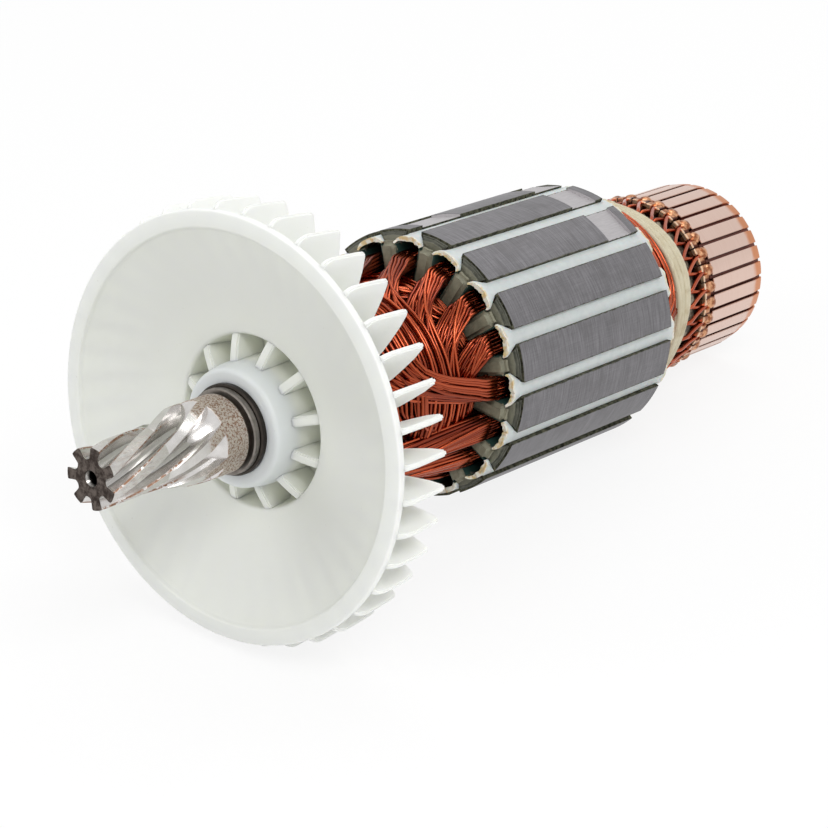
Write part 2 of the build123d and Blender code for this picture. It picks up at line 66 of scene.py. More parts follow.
# Shaft: where its end face, bearing seat and fan seat end, its tooth tips and its centre hole
PINION_FACE = -89.5
PINION_TIP = 5.78
CENTRE_HOLE = 1.6
SEAT_RADIUS = 7.5
SEAT_REAR = -57.0
FAN_SEAT_REAR = -34.0

# Core and slots
CORE_RADIUS = 27.0
FLAT_RADIUS = 26.0
CORE_LENGTH = 50.0
SLOTS = 16
SLOT_PITCH = 360 / SLOTS
FIRST_SLOT = 17.75
TOOTH_WIDTH = 3.4
SLOT_BOTTOM = 14.5
PAD_RADIUS = 25.2
PAD_HEIGHT = 3.4
SLEEVE_RADIUS = 8.5
COLLAR_RADIUS = 9.6

# Wedges: half their width in the slot, and the arch that they open into past the core, from its crown
# to its feet: how far it falls, how wide it reaches and how far its wall leans
WEDGE_COLUMNS = 16
WEDGE_HALF = 1.41
WEDGE_TOP = 26.15
WEDGE_OVERHANG = 2.7
ARCH_DROP = [(0.0, 0.0), (0.4, -0.1), (0.7, -0.5), (0.88, -1.0), (1.0, -1.5)]
ARCH_REACH = [(0.0, 0.0), (0.4, 1.5), (0.7, 2.55), (0.88, 3.05), (1.0, 3.3)]
ARCH_LEAN = [(0.0, 0.0), (0.4, 0.2), (0.7, 0.5), (1.0, 0.95)]

# Winding
COIL_SPAN = 7
LAYERS = 8
LAST_WOUND = 4
FRONT_START = -3.6
FRONT_DEPTH = 24.8
# Radius, and how much of the winding's depth is left there
FRONT_DOME = [(9.9, 1.0), (15.0, 0.97), (18.03, 0.82), (20.08, 0.62), (22.05, 0.30), (23.2, 0.12)]
REAR_START = 53.2
REAR_DEPTH = 15.2
REAR_DOME = [(9.9, 1.0), (17.0, 1.0), (19.2, 0.97), (19.9, 0.90), (20.25, 0.72), (20.35, 0.55), (21.2, 0.48),
             (21.7, 0.38), (22.1, 0.25), (22.6, 0.12), (23.2, 0.04)]
LEG_OUTER_TOP = 22.65
LEG_INNER_TOP = 18.5
# Wires that lie side by side in a slot's outer and inner half, and how close the inner rows are pressed
OUTER_COLUMNS = 7
INNER_COLUMNS = 5
INNER_PRESSING = 0.66
# How near the shaft an end turn passes, and what each row of three wires and each wire in it takes off
FRONT_NEAR = (19.2, 0.64, 0.32)
REAR_NEAR = (21.9, 0.85, 0.3)
# An end turn's points, and the share of its span that it ends at, just short of its slots
TURN_STEPS = 14
TURN_END = 0.985
# How much of its height an end turn has reached, by how near it is to its slot
CLIMB = [(0.8, 1.0), (0.88, 0.93), (0.94, 0.75), (0.985, 0.4)]

# Fan
BLADES = 39
BLADE_LEAN = 12.5
BLADE_TIP = 41.5
RIBS = 12
FIRST_RIB = 12.1
HUB_RADIUS = 11.9
POCKET_RADIUS = 16.7
POCKET_FLOOR = -42.0
RIM_START = 37.5
# How far the dish's back falls for each millimetre outwards
DISH_FALL = 0.41

# Lacing, leads and commutator
LACING_START = 61.0
LACING_END = 67.4
LACING_RADIUS = 20.45
# The band bulges three times round the coil ends: the middle of one bulge in degrees, and its height
LACING_BULGE = 55.0
LACING_SWELL = 0.45
LACING_TURNS = 6.0
BARS = 32
BAR_PITCH = 360 / BARS
FIRST_GAP = 4.25
FIRST_HOOK = FIRST_GAP + BAR_PITCH / 2
BAR_FRONT = 74.4
BAR_FACE = 78.9
BAR_END = 98.6
BAR_RADIUS = 18.6
BAR_TAPER_START = 94.8
BAR_TAPER = 0.5
BAR_EDGE = 0.4
BAR_INNER = 14.6
BAR_STEP = 17.2
BAR_GAP = 0.7
# Degrees from a bar's middle to where its leads come in, and from there to the two cheeks of its hook
LEAD_SHIFT = 0.85
CHEEK_SPREAD = 3.25
CHEEK_SIZE = (2.3, 1.35, 2.1)
CHEEK_PLACE = (18.2, 0.0, 75.3)
BULGE_SIZE = (1.8, 1.75, 2.0)
BULGE_PLACE = (17.8, -0.15, 77.35)

# Stage, in metres. The floor and the world glow white to the camera and light the armature less than that
WHITE = (1.0, 1.0, 1.0, 1.0)
FLOOR_REACH = 3.0
FLOOR_GLOW = 0.85
WORLD_LIGHT = 0.53
WORLD_MIRRORED = 0.7
LAMP_TARGET = Vector((0, 0, 0.03))
# Name, place, size and power in watts
LAMPS = [
    ("key", (0.55, -0.25, 0.75), (0.5, 0.35), 3.3),
    ("fill", (-0.5, -0.75, 0.55), (0.5, 0.5), 2.1),
    ("top", (-0.1, 0.35, 0.9), (0.8, 0.4), 2.4),
]
# The camera as fitted to the photograph: its lens and sensor in millimetres, its turn in degrees
CAMERA_LENS = 123.92
CAMERA_SENSOR = 36.0
CAMERA_PLACE = (0.32170, -0.39455, 0.28870)
CAMERA_TURN = (62.043, 1.574, 39.202)


def linear(colour):
    """An sRGB hex colour as the linear values that a shader takes."""
    parts = [int(colour[i:i + 2], 16) / 255 for i in (1, 3, 5)]
    return tuple(c / 12.92 if c <= 0.04045 else ((c + 0.055) / 1.055) ** 2.4 for c in parts) + (1.0,)


def add_node(tree, kind, inputs=None, **settings):
    """Adds a node, sets its properties, and sets or links its inputs."""
    new = tree.nodes.new(kind)
    for name, value in settings.items():
        setattr(new, name, value)
    for socket, value in (inputs or {}).items():
        if isinstance(value, bpy.types.NodeSocket):
            tree.links.new(value, new.inputs[socket])
        else:
            new.inputs[socket].default_value = value
    return new


def maths(tree, operation, first, second=0.0, third=0.0):
    """One sum on numbers or sockets, and its result's socket."""
    inputs = {0: first, 1: second, 2: third}
    return add_node(tree, "ShaderNodeMath", inputs, operation=operation).outputs[0]


class Finish:
    """A material with its nodes, and the shaft's own coordinates in millimetres to draw its patterns on."""

    def __init__(self, name, **constants):
        self.material = bpy.data.materials.new(name)
        self.material.use_nodes = True
        self.tree = self.material.node_tree
        self.shader = self.tree.nodes["Principled BSDF"]
        for socket, value in constants.items():
            value = linear(value) if isinstance(value, str) else value
            self.shader.inputs[socket.replace("_", " ")].default_value = value
        place = add_node(self.tree, "ShaderNodeTexCoord").outputs["Object"]
        mapping = add_node(self.tree, "ShaderNodeMapping", {
            "Vector": place,
            "Location": ORIGIN,
            "Rotation": SHAFT_TURN.to_euler(),
            "Scale": (MM, MM, MM),
        }, vector_type="TEXTURE")
        self.point = mapping.outputs[0]
        parts = add_node(self.tree, "ShaderNodeSeparateXYZ", {0: self.point})
        self.along = parts.outputs[2]
        squares = self.maths("MULTIPLY", parts.outputs[0], parts.outputs[0])
        squares = self.maths("MULTIPLY_ADD", parts.outputs[1], parts.outputs[1], squares)
        self.radius = self.maths("SQRT", squares)
        self.angle = self.maths("ARCTAN2", parts.outputs[1], parts.outputs[0])

    def grain(self, scale, detail=3.0, stretch=(1, 1, 1), roughness=0.5, around=False):
        """Noise in millimetres: scale is how many spots there are to a millimetre."""
        vector = self.point
        if around:
            round_arc = self.maths("MULTIPLY", self.angle, CORE_RADIUS)
            inputs = {0: round_arc, 1: self.radius, 2: self.along}
            vector = add_node(self.tree, "ShaderNodeCombineXYZ", inputs).outputs[0]
        stretched = add_node(self.tree, "ShaderNodeVectorMath", {0: vector, 1: stretch}, operation="MULTIPLY")
        inputs = {"Vector": stretched.outputs[0], "Scale": scale, "Detail": detail, "Roughness": roughness}
        return add_node(self.tree, "ShaderNodeTexNoise", inputs).outputs["Fac"]

    def maths(self, operation, *terms):
        """One sum in the material's own tree."""
        return maths(self.tree, operation, *terms)

    def every(self, *masks):
        """Where every one of several masks holds."""
        return reduce(lambda first, second: self.maths("MULTIPLY", first, second), masks)

    def any_of(self, *masks):
        """Where at least one of several masks holds."""
        return reduce(lambda first, second: self.maths("MAXIMUM", first, second), masks)

    def rise(self, value, start, end):
        """0 below start, 1 above end, smooth between. Start may be the larger, for a fall."""
        low, high = sorted((start, end))
        inputs = {"Value": value, "From Min": low, "From Max": high}
        inputs.update({"To Min": float(start > end), "To Max": float(start <= end)})
        step = add_node(self.tree, "ShaderNodeMapRange", inputs, interpolation_type="SMOOTHSTEP")
        return step.outputs["Result"]

    def mix(self, amount, first, second):
        """Two colours or sockets blended by an amount."""
        first, second = (linear(side) if isinstance(side, str) else side for side in (first, second))
        inputs = {0: amount, 6: first, 7: second}
        return add_node(self.tree, "ShaderNodeMix", inputs, data_type="RGBA").outputs[2]

    def attribute(self, name):
        """A value painted on the points of the mesh."""
        return add_node(self.tree, "ShaderNodeAttribute", attribute_name=name).outputs["Fac"]

    def from_slot(self, first, pitch):
        """How far round from the middle of the nearest slot or gap, in radians."""
        # Two whole turns more keep the angle above 0, as the modulo needs
        turned = self.maths("ADD", self.angle, radians(pitch / 2 - first + 720))
        within = self.maths("MODULO", turned, radians(pitch))
        return self.maths("ABSOLUTE", self.maths("SUBTRACT", within, radians(pitch / 2)))

    def set(self, socket, value):
        self.tree.links.new(value, self.shader.inputs[socket])

    def relief(self, height, distance, strength):
        """Bump from a height socket. Distance is the real height in millimetres."""
        inputs = {"Height": height, "Distance": distance * MM, "Strength": strength}
        self.set("Normal", add_node(self.tree, "ShaderNodeBump", inputs).outputs[0])


def plain_finish(name, shade, light, grain, bumps, height, **constants):
    """Two near colours and bumps. Grain and bumps are what grain() takes, height is in millimetres."""
    look = Finish(name, **constants)
    look.set("Base Color", look.mix(look.grain(*grain), shade, light))
    look.relief(look.grain(*bumps), height, 0.5)
    return look.material


def moulded_polypropylene():
    """Natural polypropylene, moulded and unpainted: milky, slightly green in the shade, soft gloss, with
    painted light on the rim, blades and pockets and painted shade on the hub.
    """
    look = Finish("moulded_polypropylene", Roughness=0.45, IOR=1.49, Subsurface_Weight=0.45,
                  Subsurface_Scale=0.003, Subsurface_Radius=(1.0, 1.0, 0.85))
    body = look.mix(look.grain(0.06, 2.0), "#DBDDD6", "#E2E4DE")
    # The rim band is painted lighter, as painted light.
    body = look.mix(look.rise(look.radius, RIM_START - 0.9, RIM_START + 2.1), body, "#E4E6E2")
    # The blades stand behind the dish, and are painted lighter, as painted light
    behind_dish = look.rise(look.maths("MULTIPLY_ADD", look.radius, DISH_FALL, look.along), -38.4, -38.0)
    blades = look.every(behind_dish, look.rise(look.radius, 20.0, 24.0))
    body = look.mix(blades, body, "#F6F8F3")
    # The pockets are painted lighter, as painted light that stands in for light through the thin plastic.
    lit_pocket = look.rise(look.radius, POCKET_RADIUS + 0.7, POCKET_RADIUS - 1.1)
    body = look.mix(look.every(lit_pocket, look.rise(look.along, -50.0, -45.0)), body, "#EBEDE2")
    # The hub's front is painted darker, as painted shade.
    hub = look.rise(look.radius, HUB_RADIUS + 0.7, HUB_RADIUS - 0.3)
    body = look.mix(look.every(hub, look.rise(look.along, -47.0, -49.5)), body, "#D6DADA")
    specks = look.rise(look.grain(1.3, 1.0), 0.78, 0.81)
    look.set("Base Color", look.mix(look.every(specks, 0.16), body, "#8F8B7E"))
    look.relief(look.grain(1.6, 3.0), 0.02, 0.4)
    return look.material


def turned_laminations():
    """Stamped electrical steel, stacked and turned: grey, a fine line to each sheet, varnished slot walls."""
    look = Finish("turned_laminations", Metallic=1.0)
    # Sheets are 0.5 mm thick; their edges are drawn as uneven lines of about that spacing
    scratches = look.grain(1.0, 4.0, (0.2, 0.2, 6.0), 0.65, around=True)
    turning = look.grain(1.0, 3.0, (4.0, 1.0, 0.15), 0.6, around=True)
    weave = look.maths("MULTIPLY_ADD", scratches, 0.78, look.every(turning, 0.22))
    blotches = look.grain(0.22, 3.0)
    steel = look.mix(look.rise(weave, 0.34, 0.66), "#717072", "#908E91")
    steel = look.mix(look.every(look.rise(blotches, 0.45, 0.75), 0.4), steel, "#6F6D6E")
    from_slot = look.from_slot(FIRST_SLOT, SLOT_PITCH)
    # Radians from a slot's middle: its mouth ends at 0.056, and the sheets' corners are dark up to 0.065
    on_tooth = look.rise(from_slot, 0.0556, 0.058)
    below_rim = look.rise(look.radius, CORE_RADIUS - 0.05, CORE_RADIUS - 0.15)
    flat = look.every(on_tooth, below_rim, look.rise(look.radius, FLAT_RADIUS, FLAT_RADIUS + 0.2))
    milling = look.grain(1.0, 2.0, (5.0, 5.0, 0.4))
    steel = look.mix(flat, steel, look.mix(milling, "#A7A4A6", "#C8C5C6"))
    rear = look.rise(look.along, CORE_LENGTH - 0.08, CORE_LENGTH - 0.02)
    ends = look.any_of(look.rise(look.along, 0.08, 0.02), rear)
    edge = look.every(look.rise(from_slot, 0.0655, 0.0590), look.rise(look.grain(0.9, 3.0), 0.45, 0.6))
    walls = look.maths("SUBTRACT", 1.0, on_tooth)
    inside = look.rise(look.radius, FLAT_RADIUS + 0.1, FLAT_RADIUS - 0.1)
    dark = look.any_of(walls, ends, look.every(edge, 0.8), inside)
    varnish = look.mix(look.rise(look.grain(1.1, 4.0, roughness=0.65), 0.35, 0.65), "#3A3B31", "#727160")
    rust = look.rise(look.grain(0.35, 4.0, roughness=0.7), 0.68, 0.76)
    steel = look.mix(look.every(rust, 0.35), steel, "#6B5A48")
    look.set("Base Color", look.mix(dark, steel, varnish))
    rough = look.maths("MULTIPLY_ADD", scratches, 0.2, 0.42)
    look.set("Roughness", look.maths("MULTIPLY_ADD", dark, 0.2, rough))
    look.relief(look.every(weave, 1.6), 0.03, 0.6)
    return look.material


def enamelled_copper(name, shade, light):
    """Copper wire in baked enamel: a deep orange-red that goes nearly black between the turns."""
    look = Finish(name, Metallic=1.0, Roughness=0.27, Coat_Weight=0.3, Coat_Roughness=0.1)
    look.set("Base Color", look.mix(look.attribute("tone"), shade, light))
    look.relief(look.grain(1.5, 2.0), 0.05, 0.35)
    return look.material


def wedge_film():
    """Polyester film and board laminate, pressed into the slots: bluish white, cut ends cream and frayed, the
    underside painted dark green as painted shade.
    """
    look = Finish("wedge_film", Roughness=0.5, IOR=1.55, Subsurface_Weight=0.1, Subsurface_Scale=0.001)
    fray_and_shade = look.attribute("fray_and_shade")
    body = look.mix(look.grain(0.7, 3.0), "#C2C9C9", "#D9DEDC")
    grime = look.rise(look.grain(0.5, 4.0, roughness=0.65), 0.64, 0.8)
    body = look.mix(look.every(grime, 0.4), body, "#A7A38F")
    paper = look.mix(look.rise(look.grain(0.8, 3.0), 0.45, 0.62), "#E4E3D6", "#D3BE8C")
    body = look.mix(look.rise(fray_and_shade, 0.6, 1.0), body, paper)
    # The strip's underside is painted dark green, as painted shade.
    inside = look.rise(fray_and_shade, 1.2, 1.8)
    look.set("Base Color", look.mix(inside, body, "#3F5A4C"))
    look.relief(look.grain(2.0, 3.0), 0.06, 0.5)
    return look.material


def varnished_fibre():
    """Fibre board soaked in varnish: grey-olive, fuzzy, with darker layers against the steel."""
    look = Finish("varnished_fibre", Roughness=0.6, IOR=1.5)
    body = look.mix(look.grain(0.5, 4.0), "#5E5D4E", "#97947F")
    near = look.maths("ABSOLUTE", look.maths("SUBTRACT", look.along, CORE_LENGTH / 2))
    near = look.maths("SUBTRACT", near, CORE_LENGTH / 2)
    layers = look.rise(near, 1.15, 0.95)
    sheet = look.mix(look.grain(0.9, 4.0), "#25281F", "#66665A")
    look.set("Base Color", look.mix(layers, body, sheet))
    look.relief(look.grain(1.8, 4.0), 0.15, 0.7)
    return look.material


def slot_film():
    """Dark green insulating paper, seen only in the slots' mouths."""
    return plain_finish("slot_film", "#16302C", "#33534C", (0.8, 3.0), (2.0, 2.0), 0.05,
                        Roughness=0.45, IOR=1.5)


def waxed_cord():
    """Cream lacing cord of twisted polyester, matt, with varnish soaked in here and there."""
    look = Finish("waxed_cord", Roughness=0.6, IOR=1.5, Sheen_Weight=0.15)
    twist = look.maths("MULTIPLY_ADD", look.angle, 260.0, look.every(look.along, 9.0))
    strands = look.maths("SINE", twist)
    body = look.mix(look.grain(0.5, 3.0), "#C4B694", "#DCD5BE")
    soaked = look.rise(look.grain(0.3, 3.0), 0.55, 0.72)
    look.set("Base Color", look.mix(look.every(soaked, 0.6), body, "#B5A27B"))
    look.relief(strands, 0.05, 0.6)
    return look.material


def trickle_varnish():
    """Filling between the leads, drenched in brown varnish: lumpy, grey-brown with glossy runs, with painted
    shade under the hooks.
    """
    look = Finish("trickle_varnish", IOR=1.52, Coat_Weight=0.2)
    lumps = look.grain(1.2, 4.0, roughness=0.65)
    body = look.mix(look.rise(lumps, 0.35, 0.65), "#3A3128", "#A09782")
    # The filling is painted darker towards the hooks, as painted shade under them.
    shade_under_hooks = look.rise(look.along, BAR_FRONT - 2.6, BAR_FRONT - 0.6)
    look.set("Base Color", look.mix(shade_under_hooks, body, "#1E1410"))
    look.set("Roughness", look.maths("MULTIPLY_ADD", lumps, 0.5, 0.25))
    look.relief(lumps, 0.3, 0.8)
    return look.material


def turned_copper():
    """Commutator copper: faces turned pinkish and fine-lined, chamfers orange, hooks browned by welding, with
    painted shade under and between the hooks and a painted highlight on their fronts.
    """
    look = Finish("turned_copper", Metallic=1.0)
    lines = look.grain(1.0, 3.0, (0.05, 0.2, 6.0), 0.6, around=True)
    face = look.mix(lines, "#D9B8A8", "#E9D0C4")
    rubbed = look.maths("MULTIPLY_ADD", look.grain(0.5, 3.0), 1.6, look.along)
    face = look.mix(look.rise(rubbed, BAR_TAPER_START + 0.2, BAR_TAPER_START + 2.2), face, "#D28C62")
    off_gap = look.from_slot(FIRST_GAP, BAR_PITCH)
    sides = look.rise(look.radius, BAR_RADIUS - 0.1, BAR_RADIUS - 0.25)
    straight = look.rise(look.along, BAR_TAPER_START + 0.6, BAR_TAPER_START + 0.2)
    face = look.mix(look.every(sides, straight), face, "#8A4C36")
    burnt = look.rise(look.grain(0.9, 4.0, roughness=0.6), 0.38, 0.62)
    hook = look.mix(burnt, "#94583A", "#DFA880")
    # The hooks are painted darker towards the shaft and beside the gaps between them, as painted shade.
    hook = look.mix(look.rise(look.radius, BAR_RADIUS - 0.3, BAR_RADIUS - 1.3), hook, "#6A3824")
    hook = look.mix(look.rise(off_gap, 0.03, 0.01), hook, "#5A2E1E")
    # The fronts of the hooks are bright cut copper, painted near white as a painted highlight.
    cut = look.rise(look.along, BAR_FRONT + 0.35, BAR_FRONT + 0.2)
    cut = look.every(cut, look.rise(look.radius, BAR_RADIUS - 0.15, BAR_RADIUS))
    hook = look.mix(cut, hook, look.mix(look.grain(0.35, 2.0), "#E3B48C", "#FFF0DE"))
    look.set("Base Color", look.mix(look.rise(look.along, BAR_FACE - 0.3, BAR_FACE + 0.05), hook, face))
    look.set("Roughness", look.maths("MULTIPLY_ADD", lines, 0.12, 0.27))
    look.relief(lines, 0.01, 0.5)
    return look.material


def filled_phenolic():
    """Glass-filled phenolic moulding, turned flush with the bars: dark red-brown and dull."""
    return plain_finish("filled_phenolic", "#4A2218", "#7A4030", (1.2, 3.0), (2.5, 3.0), 0.05,
                        Roughness=0.6, IOR=1.56)


def ground_shaft_steel():
    """Case-hardened steel: bright on the tooth flanks, rusty on tips and bearing seat, dark at the end, with
    painted shade at the tooth roots and in the centre hole.
    """
    look = Finish("ground_shaft_steel", Metallic=1.0)
    bright = look.mix(look.grain(0.5, 3.0), "#C9C5C2", "#E8E6E4")
    # The tooth roots are painted darker, as painted shade.
    deep = look.rise(look.radius, 4.6, 3.6)
    bright = look.mix(look.every(deep, 0.5), bright, "#85837D")
    face = look.rise(look.along, PINION_FACE + 0.2, PINION_FACE)
    # Rust sits along the two edges of each tooth's tip, where the chamfer starts
    below_tip = look.rise(look.radius, PINION_TIP + 0.01, PINION_TIP - 0.08)
    tips = look.every(look.rise(look.radius, 5.2, 5.5), below_tip)
    teeth = look.every(tips, look.rise(look.along, -69.0, -73.0))
    stains = look.rise(look.grain(0.9, 5.0, roughness=0.75), 0.42, 0.50)
    rust = look.mix(look.grain(1.9, 5.0, roughness=0.7), "#5C3D2B", "#A8764E")
    teeth_rust = look.every(teeth, stains, 0.9)
    seat = look.rise(look.along, SEAT_REAR + 0.3, SEAT_REAR)
    seat = look.every(look.rise(look.along, SEAT_REAR - 10.5, SEAT_REAR - 9.0), seat)
    seat = look.every(seat, look.rise(look.radius, SEAT_RADIUS - 0.2, SEAT_RADIUS - 0.05))
    specks = look.rise(look.grain(2.4, 5.0, roughness=0.75), 0.48, 0.54)
    patches = look.maths("MULTIPLY_ADD", look.grain(0.25, 3.0), 0.8, 0.35)
    seat_rust = look.every(seat, specks, patches)
    body = look.mix(seat, bright, "#CBC3BB")
    body = look.mix(look.any_of(teeth_rust, seat_rust), body, rust)
    on_face = look.mix(look.rise(look.grain(1.0, 5.0, roughness=0.7), 0.35, 0.65), "#3A322E", "#6B625C")
    body = look.mix(face, body, on_face)
    # The centre hole is painted nearly black, as painted shade.
    shaded_bore = look.rise(look.radius, CENTRE_HOLE + 0.1, CENTRE_HOLE)
    shaded_bore = look.every(shaded_bore, look.rise(look.along, PINION_FACE + 0.3, PINION_FACE + 0.8))
    body = look.mix(shaded_bore, body, "#0E0C0B")
    groove = look.rise(look.along, SEAT_REAR - 0.05, SEAT_REAR + 0.05)
    groove = look.every(groove, look.rise(look.along, FAN_SEAT_REAR + 1.0, FAN_SEAT_REAR))
    look.set("Base Color", look.mix(groove, body, "#4A423C"))
    dull = look.any_of(teeth_rust, seat_rust, face, groove)
    rough = look.maths("MULTIPLY_ADD", seat, 0.15, 0.22)
    look.set("Roughness", look.maths("MULTIPLY_ADD", dull, 0.35, rough))
    pits = look.every(dull, look.grain(3.0, 3.0))
    lines = look.grain(1.0, 3.0, (0.1, 0.1, 5.0), around=True)
    look.relief(look.maths("MULTIPLY_ADD", lines, 0.25, pits), 0.05, 0.6)
    return look.material


def blackened_steel(name, shade, light):
    """Plain steel darkened by heat and oil, as on the ring and the bush in front of the fan."""
    return plain_finish(name, shade, light, (0.9, 4.0), (2.5, 3.0), 0.02, Metallic=1.0, Roughness=0.38)


def moulded_sleeve():
    """Moulded insulation between shaft and core, brown and dull."""
    return plain_finish("moulded_sleeve", "#3C352E", "#5E554B", (0.8, 3.0), (2.0, 2.0), 0.04,
                        Roughness=0.6, IOR=1.55)


def bush_brass():
    """Turned brass of the commutator's bush, with fine lines round it."""
    lines = (1.0, 2.0, (0.1, 0.1, 5.0), 0.5, True)
    return plain_finish("turned_brass", "#B08D4E", "#D9BC7E", (0.6, 3.0), lines, 0.01,
                        Metallic=1.0, Roughness=0.3)


def in_scene(name, data):
    """A new object, linked to the scene."""
    new = bpy.data.objects.new(name, data)
    bpy.context.scene.collection.objects.link(new)
    return new


def new_piece(name, mesh, node):
    """Lays a mesh from the shaft's frame down where the armature lies, as a piece on the part's one body."""
    mesh.transform(SHAFT_TO_ROW)
    mesh.update()
    mesh.name = name
    piece = in_scene(name, mesh)
    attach(piece, "root")
    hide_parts(node)


def polar(radius, angle, height):
    return Vector((radius * cos(radians(angle)), radius * sin(radians(angle)), height))


def between(table, value):
    """Looks a value up in a table of pairs, in a straight line between its rows."""
    if value <= table[0][0]:
        return table[0][1]
    for (x0, y0), (x1, y1) in zip(table, table[1:]):
        if value <= x1:
            return y0 + (y1 - y0) * (value - x0) / (x1 - x0)
    return table[-1][1]


def rounded(points, steps=3):
    """An outline from (radius, height, rounding) corners, each rounded by a short curve."""
    outline = []
    count = len(points)
    for i, (x, y, size) in enumerate(points):
        corner = Vector((x, y))
        before = Vector(points[i - 1][:2]) - corner
        after = Vector(points[(i + 1) % count][:2]) - corner
        reach = min(size, before.length * 0.45, after.length * 0.45)
        if reach < 0.02:
            outline.append((x, y))
            continue
        start = corner + before.normalized() * reach
        end = corner + after.normalized() * reach
        for step in range(steps + 1):
            t = step / steps
            outline.append(tuple((1 - t) ** 2 * start + 2 * t * (1 - t) * corner + t * t * end))
    return outline


def arc_through(start, middle, end, steps):
    """Points of a gentle arc between two corners, as a parabola through a middle point."""
    points = []
    control = [2 * m - (s + e) / 2 for s, m, e in zip(start, middle, end)]
    for i in range(1, steps):
        t = i / steps
        parts = zip(start, control, end)
        points.append(tuple((1 - t) ** 2 * s + 2 * t * (1 - t) * c + t * t * e for s, c, e in parts))
    return points


def revolved(outline, segments, wobble=None):
    """A closed ring-shaped mesh from an outline of (radius, height) points."""
    shape = bmesh.new()
    rows = []
    for i in range(segments):
        angle = 360 * i / segments
        row = []
        for radius, height in outline:
            out = wobble(radius, angle, height) if wobble else 0
            row.append(shape.verts.new(polar(radius + out, angle, height)))
        rows.append(row)
    count = len(outline)
    for i in range(segments):
        row, following = rows[i], rows[(i + 1) % segments]
        for j in range(count):
            k = (j + 1) % count
            shape.faces.new((row[j], following[j], following[k], row[k]))
    bmesh.ops.recalc_face_normals(shape, faces=shape.faces)
    return shape


def to_mesh(shape, name, sharp=40):
    """A mesh from a bmesh, smooth but for its sharp edges."""
    limit = radians(sharp)
    for face in shape.faces:
        face.smooth = True
    for edge in shape.edges:
        if len(edge.link_faces) == 2 and edge.calc_face_angle(0) > limit:
            edge.smooth = False
    mesh = bpy.data.meshes.new(name)
    shape.to_mesh(mesh)
    shape.free()
    return mesh


def soften(shape, edges, offset, segments=2):
    """Rounds some of a shape's edges."""
    bmesh.ops.bevel(shape, geom=edges, offset=offset, segments=segments, affect="EDGES", clamp_overlap=True)


def plate(near, far):
    """A closed plate between two outlines, and the edges round both of them."""
    shape = bmesh.new()
    near = [shape.verts.new(point) for point in near]
    far = [shape.verts.new(point) for point in far]
    shape.faces.new(near)
    shape.faces.new(far[::-1])
    rim = []
    for i in range(len(near)):
        j = (i + 1) % len(near)
        shape.faces.new((near[j], near[i], far[i], far[j]))
        rim += [shape.edges.get((near[i], near[j])), shape.edges.get((far[i], far[j]))]
    bmesh.ops.recalc_face_normals(shape, faces=shape.faces)
    return shape, rim


def new_tree(name, inputs):
    """An empty geometry tree with a geometry input, the named inputs and a geometry output."""
    tree = bpy.data.node_groups.new(name, "GeometryNodeTree")
    tree.interface.new_socket("Geometry", in_out="INPUT", socket_type="NodeSocketGeometry")
    for label, kind, default in inputs:
        socket = tree.interface.new_socket(label, in_out="INPUT", socket_type=kind)
        if default is not None:
            socket.default_value = default
    tree.interface.new_socket("Geometry", in_out="OUTPUT", socket_type="NodeSocketGeometry")
    return tree, add_node(tree, "NodeGroupInput").outputs


def finish_tree(tree, geometry, finish):
    """Ends a geometry tree: real copies, shaded smooth, in their material."""
    real = add_node(tree, "GeometryNodeRealizeInstances", {"Geometry": geometry}).outputs[0]
    painted = add_node(tree, "GeometryNodeSetMaterial", {"Geometry": real, "Material": finish}).outputs[0]
    add_node(tree, "NodeGroupOutput", {"Geometry": painted})
    return tree


def strand_tree():
    """A round strand along each run of edges, smoothed through its points."""
    tree, given = new_tree("strands_along_paths", [
        ("Strand Radius", "NodeSocketFloat", 0.4),
        ("Sides", "NodeSocketInt", 8),
        ("Steps", "NodeSocketInt", 2),
        ("Finish", "NodeSocketMaterial", None),
    ])
    path = add_node(tree, "GeometryNodeMeshToCurve", {0: given["Geometry"]}).outputs[0]
    path = add_node(tree, "GeometryNodeCurveSplineType", {0: path}, spline_type="CATMULL_ROM").outputs[0]
    inputs = {0: path, "Resolution": given["Steps"]}
    path = add_node(tree, "GeometryNodeSetSplineResolution", inputs).outputs[0]
    inputs = {"Resolution": given["Sides"], "Radius": given["Strand Radius"]}
    section = add_node(tree, "GeometryNodeCurvePrimitiveCircle", inputs).outputs[0]
    inputs = {"Curve": path, "Profile Curve": section, "Fill Caps": True}
    tube = add_node(tree, "GeometryNodeCurveToMesh", inputs).outputs[0]
    tube = add_node(tree, "GeometryNodeSetShadeSmooth", {0: tube, "Shade Smooth": True}).outputs[0]
    return finish_tree(tree, tube, given["Finish"])


def ring_tree():
    """Copies of one shape set evenly round the shaft."""
    tree, given = new_tree("copies_round_the_shaft", [
        ("Count", "NodeSocketInt", 12),
        ("First Angle", "NodeSocketFloat", 0.0),
        ("Unevenness", "NodeSocketFloat", 0.0),
        ("Seed", "NodeSocketInt", 7),
        ("Finish", "NodeSocketMaterial", None),
    ])
    points = add_node(tree, "GeometryNodePoints", {"Count": given["Count"]}).outputs[0]
    index = add_node(tree, "GeometryNodeInputIndex").outputs[0]
    pitch = maths(tree, "DIVIDE", 2 * pi, given["Count"])
    low = maths(tree, "MULTIPLY", given["Unevenness"], -1.0)
    inputs = {2: low, 3: given["Unevenness"], "Seed": given["Seed"]}
    sway = add_node(tree, "FunctionNodeRandomValue", inputs, data_type="FLOAT").outputs[1]
    angle = maths(tree, "MULTIPLY_ADD", index, pitch, given["First Angle"])
    angle = maths(tree, "ADD", angle, sway)
    turn = add_node(tree, "ShaderNodeCombineXYZ", {"Z": angle}).outputs[0]
    inputs = {"Points": points, "Instance": given["Geometry"], "Rotation": turn}
    copies = add_node(tree, "GeometryNodeInstanceOnPoints", inputs).outputs[0]
    return finish_tree(tree, copies, given["Finish"])


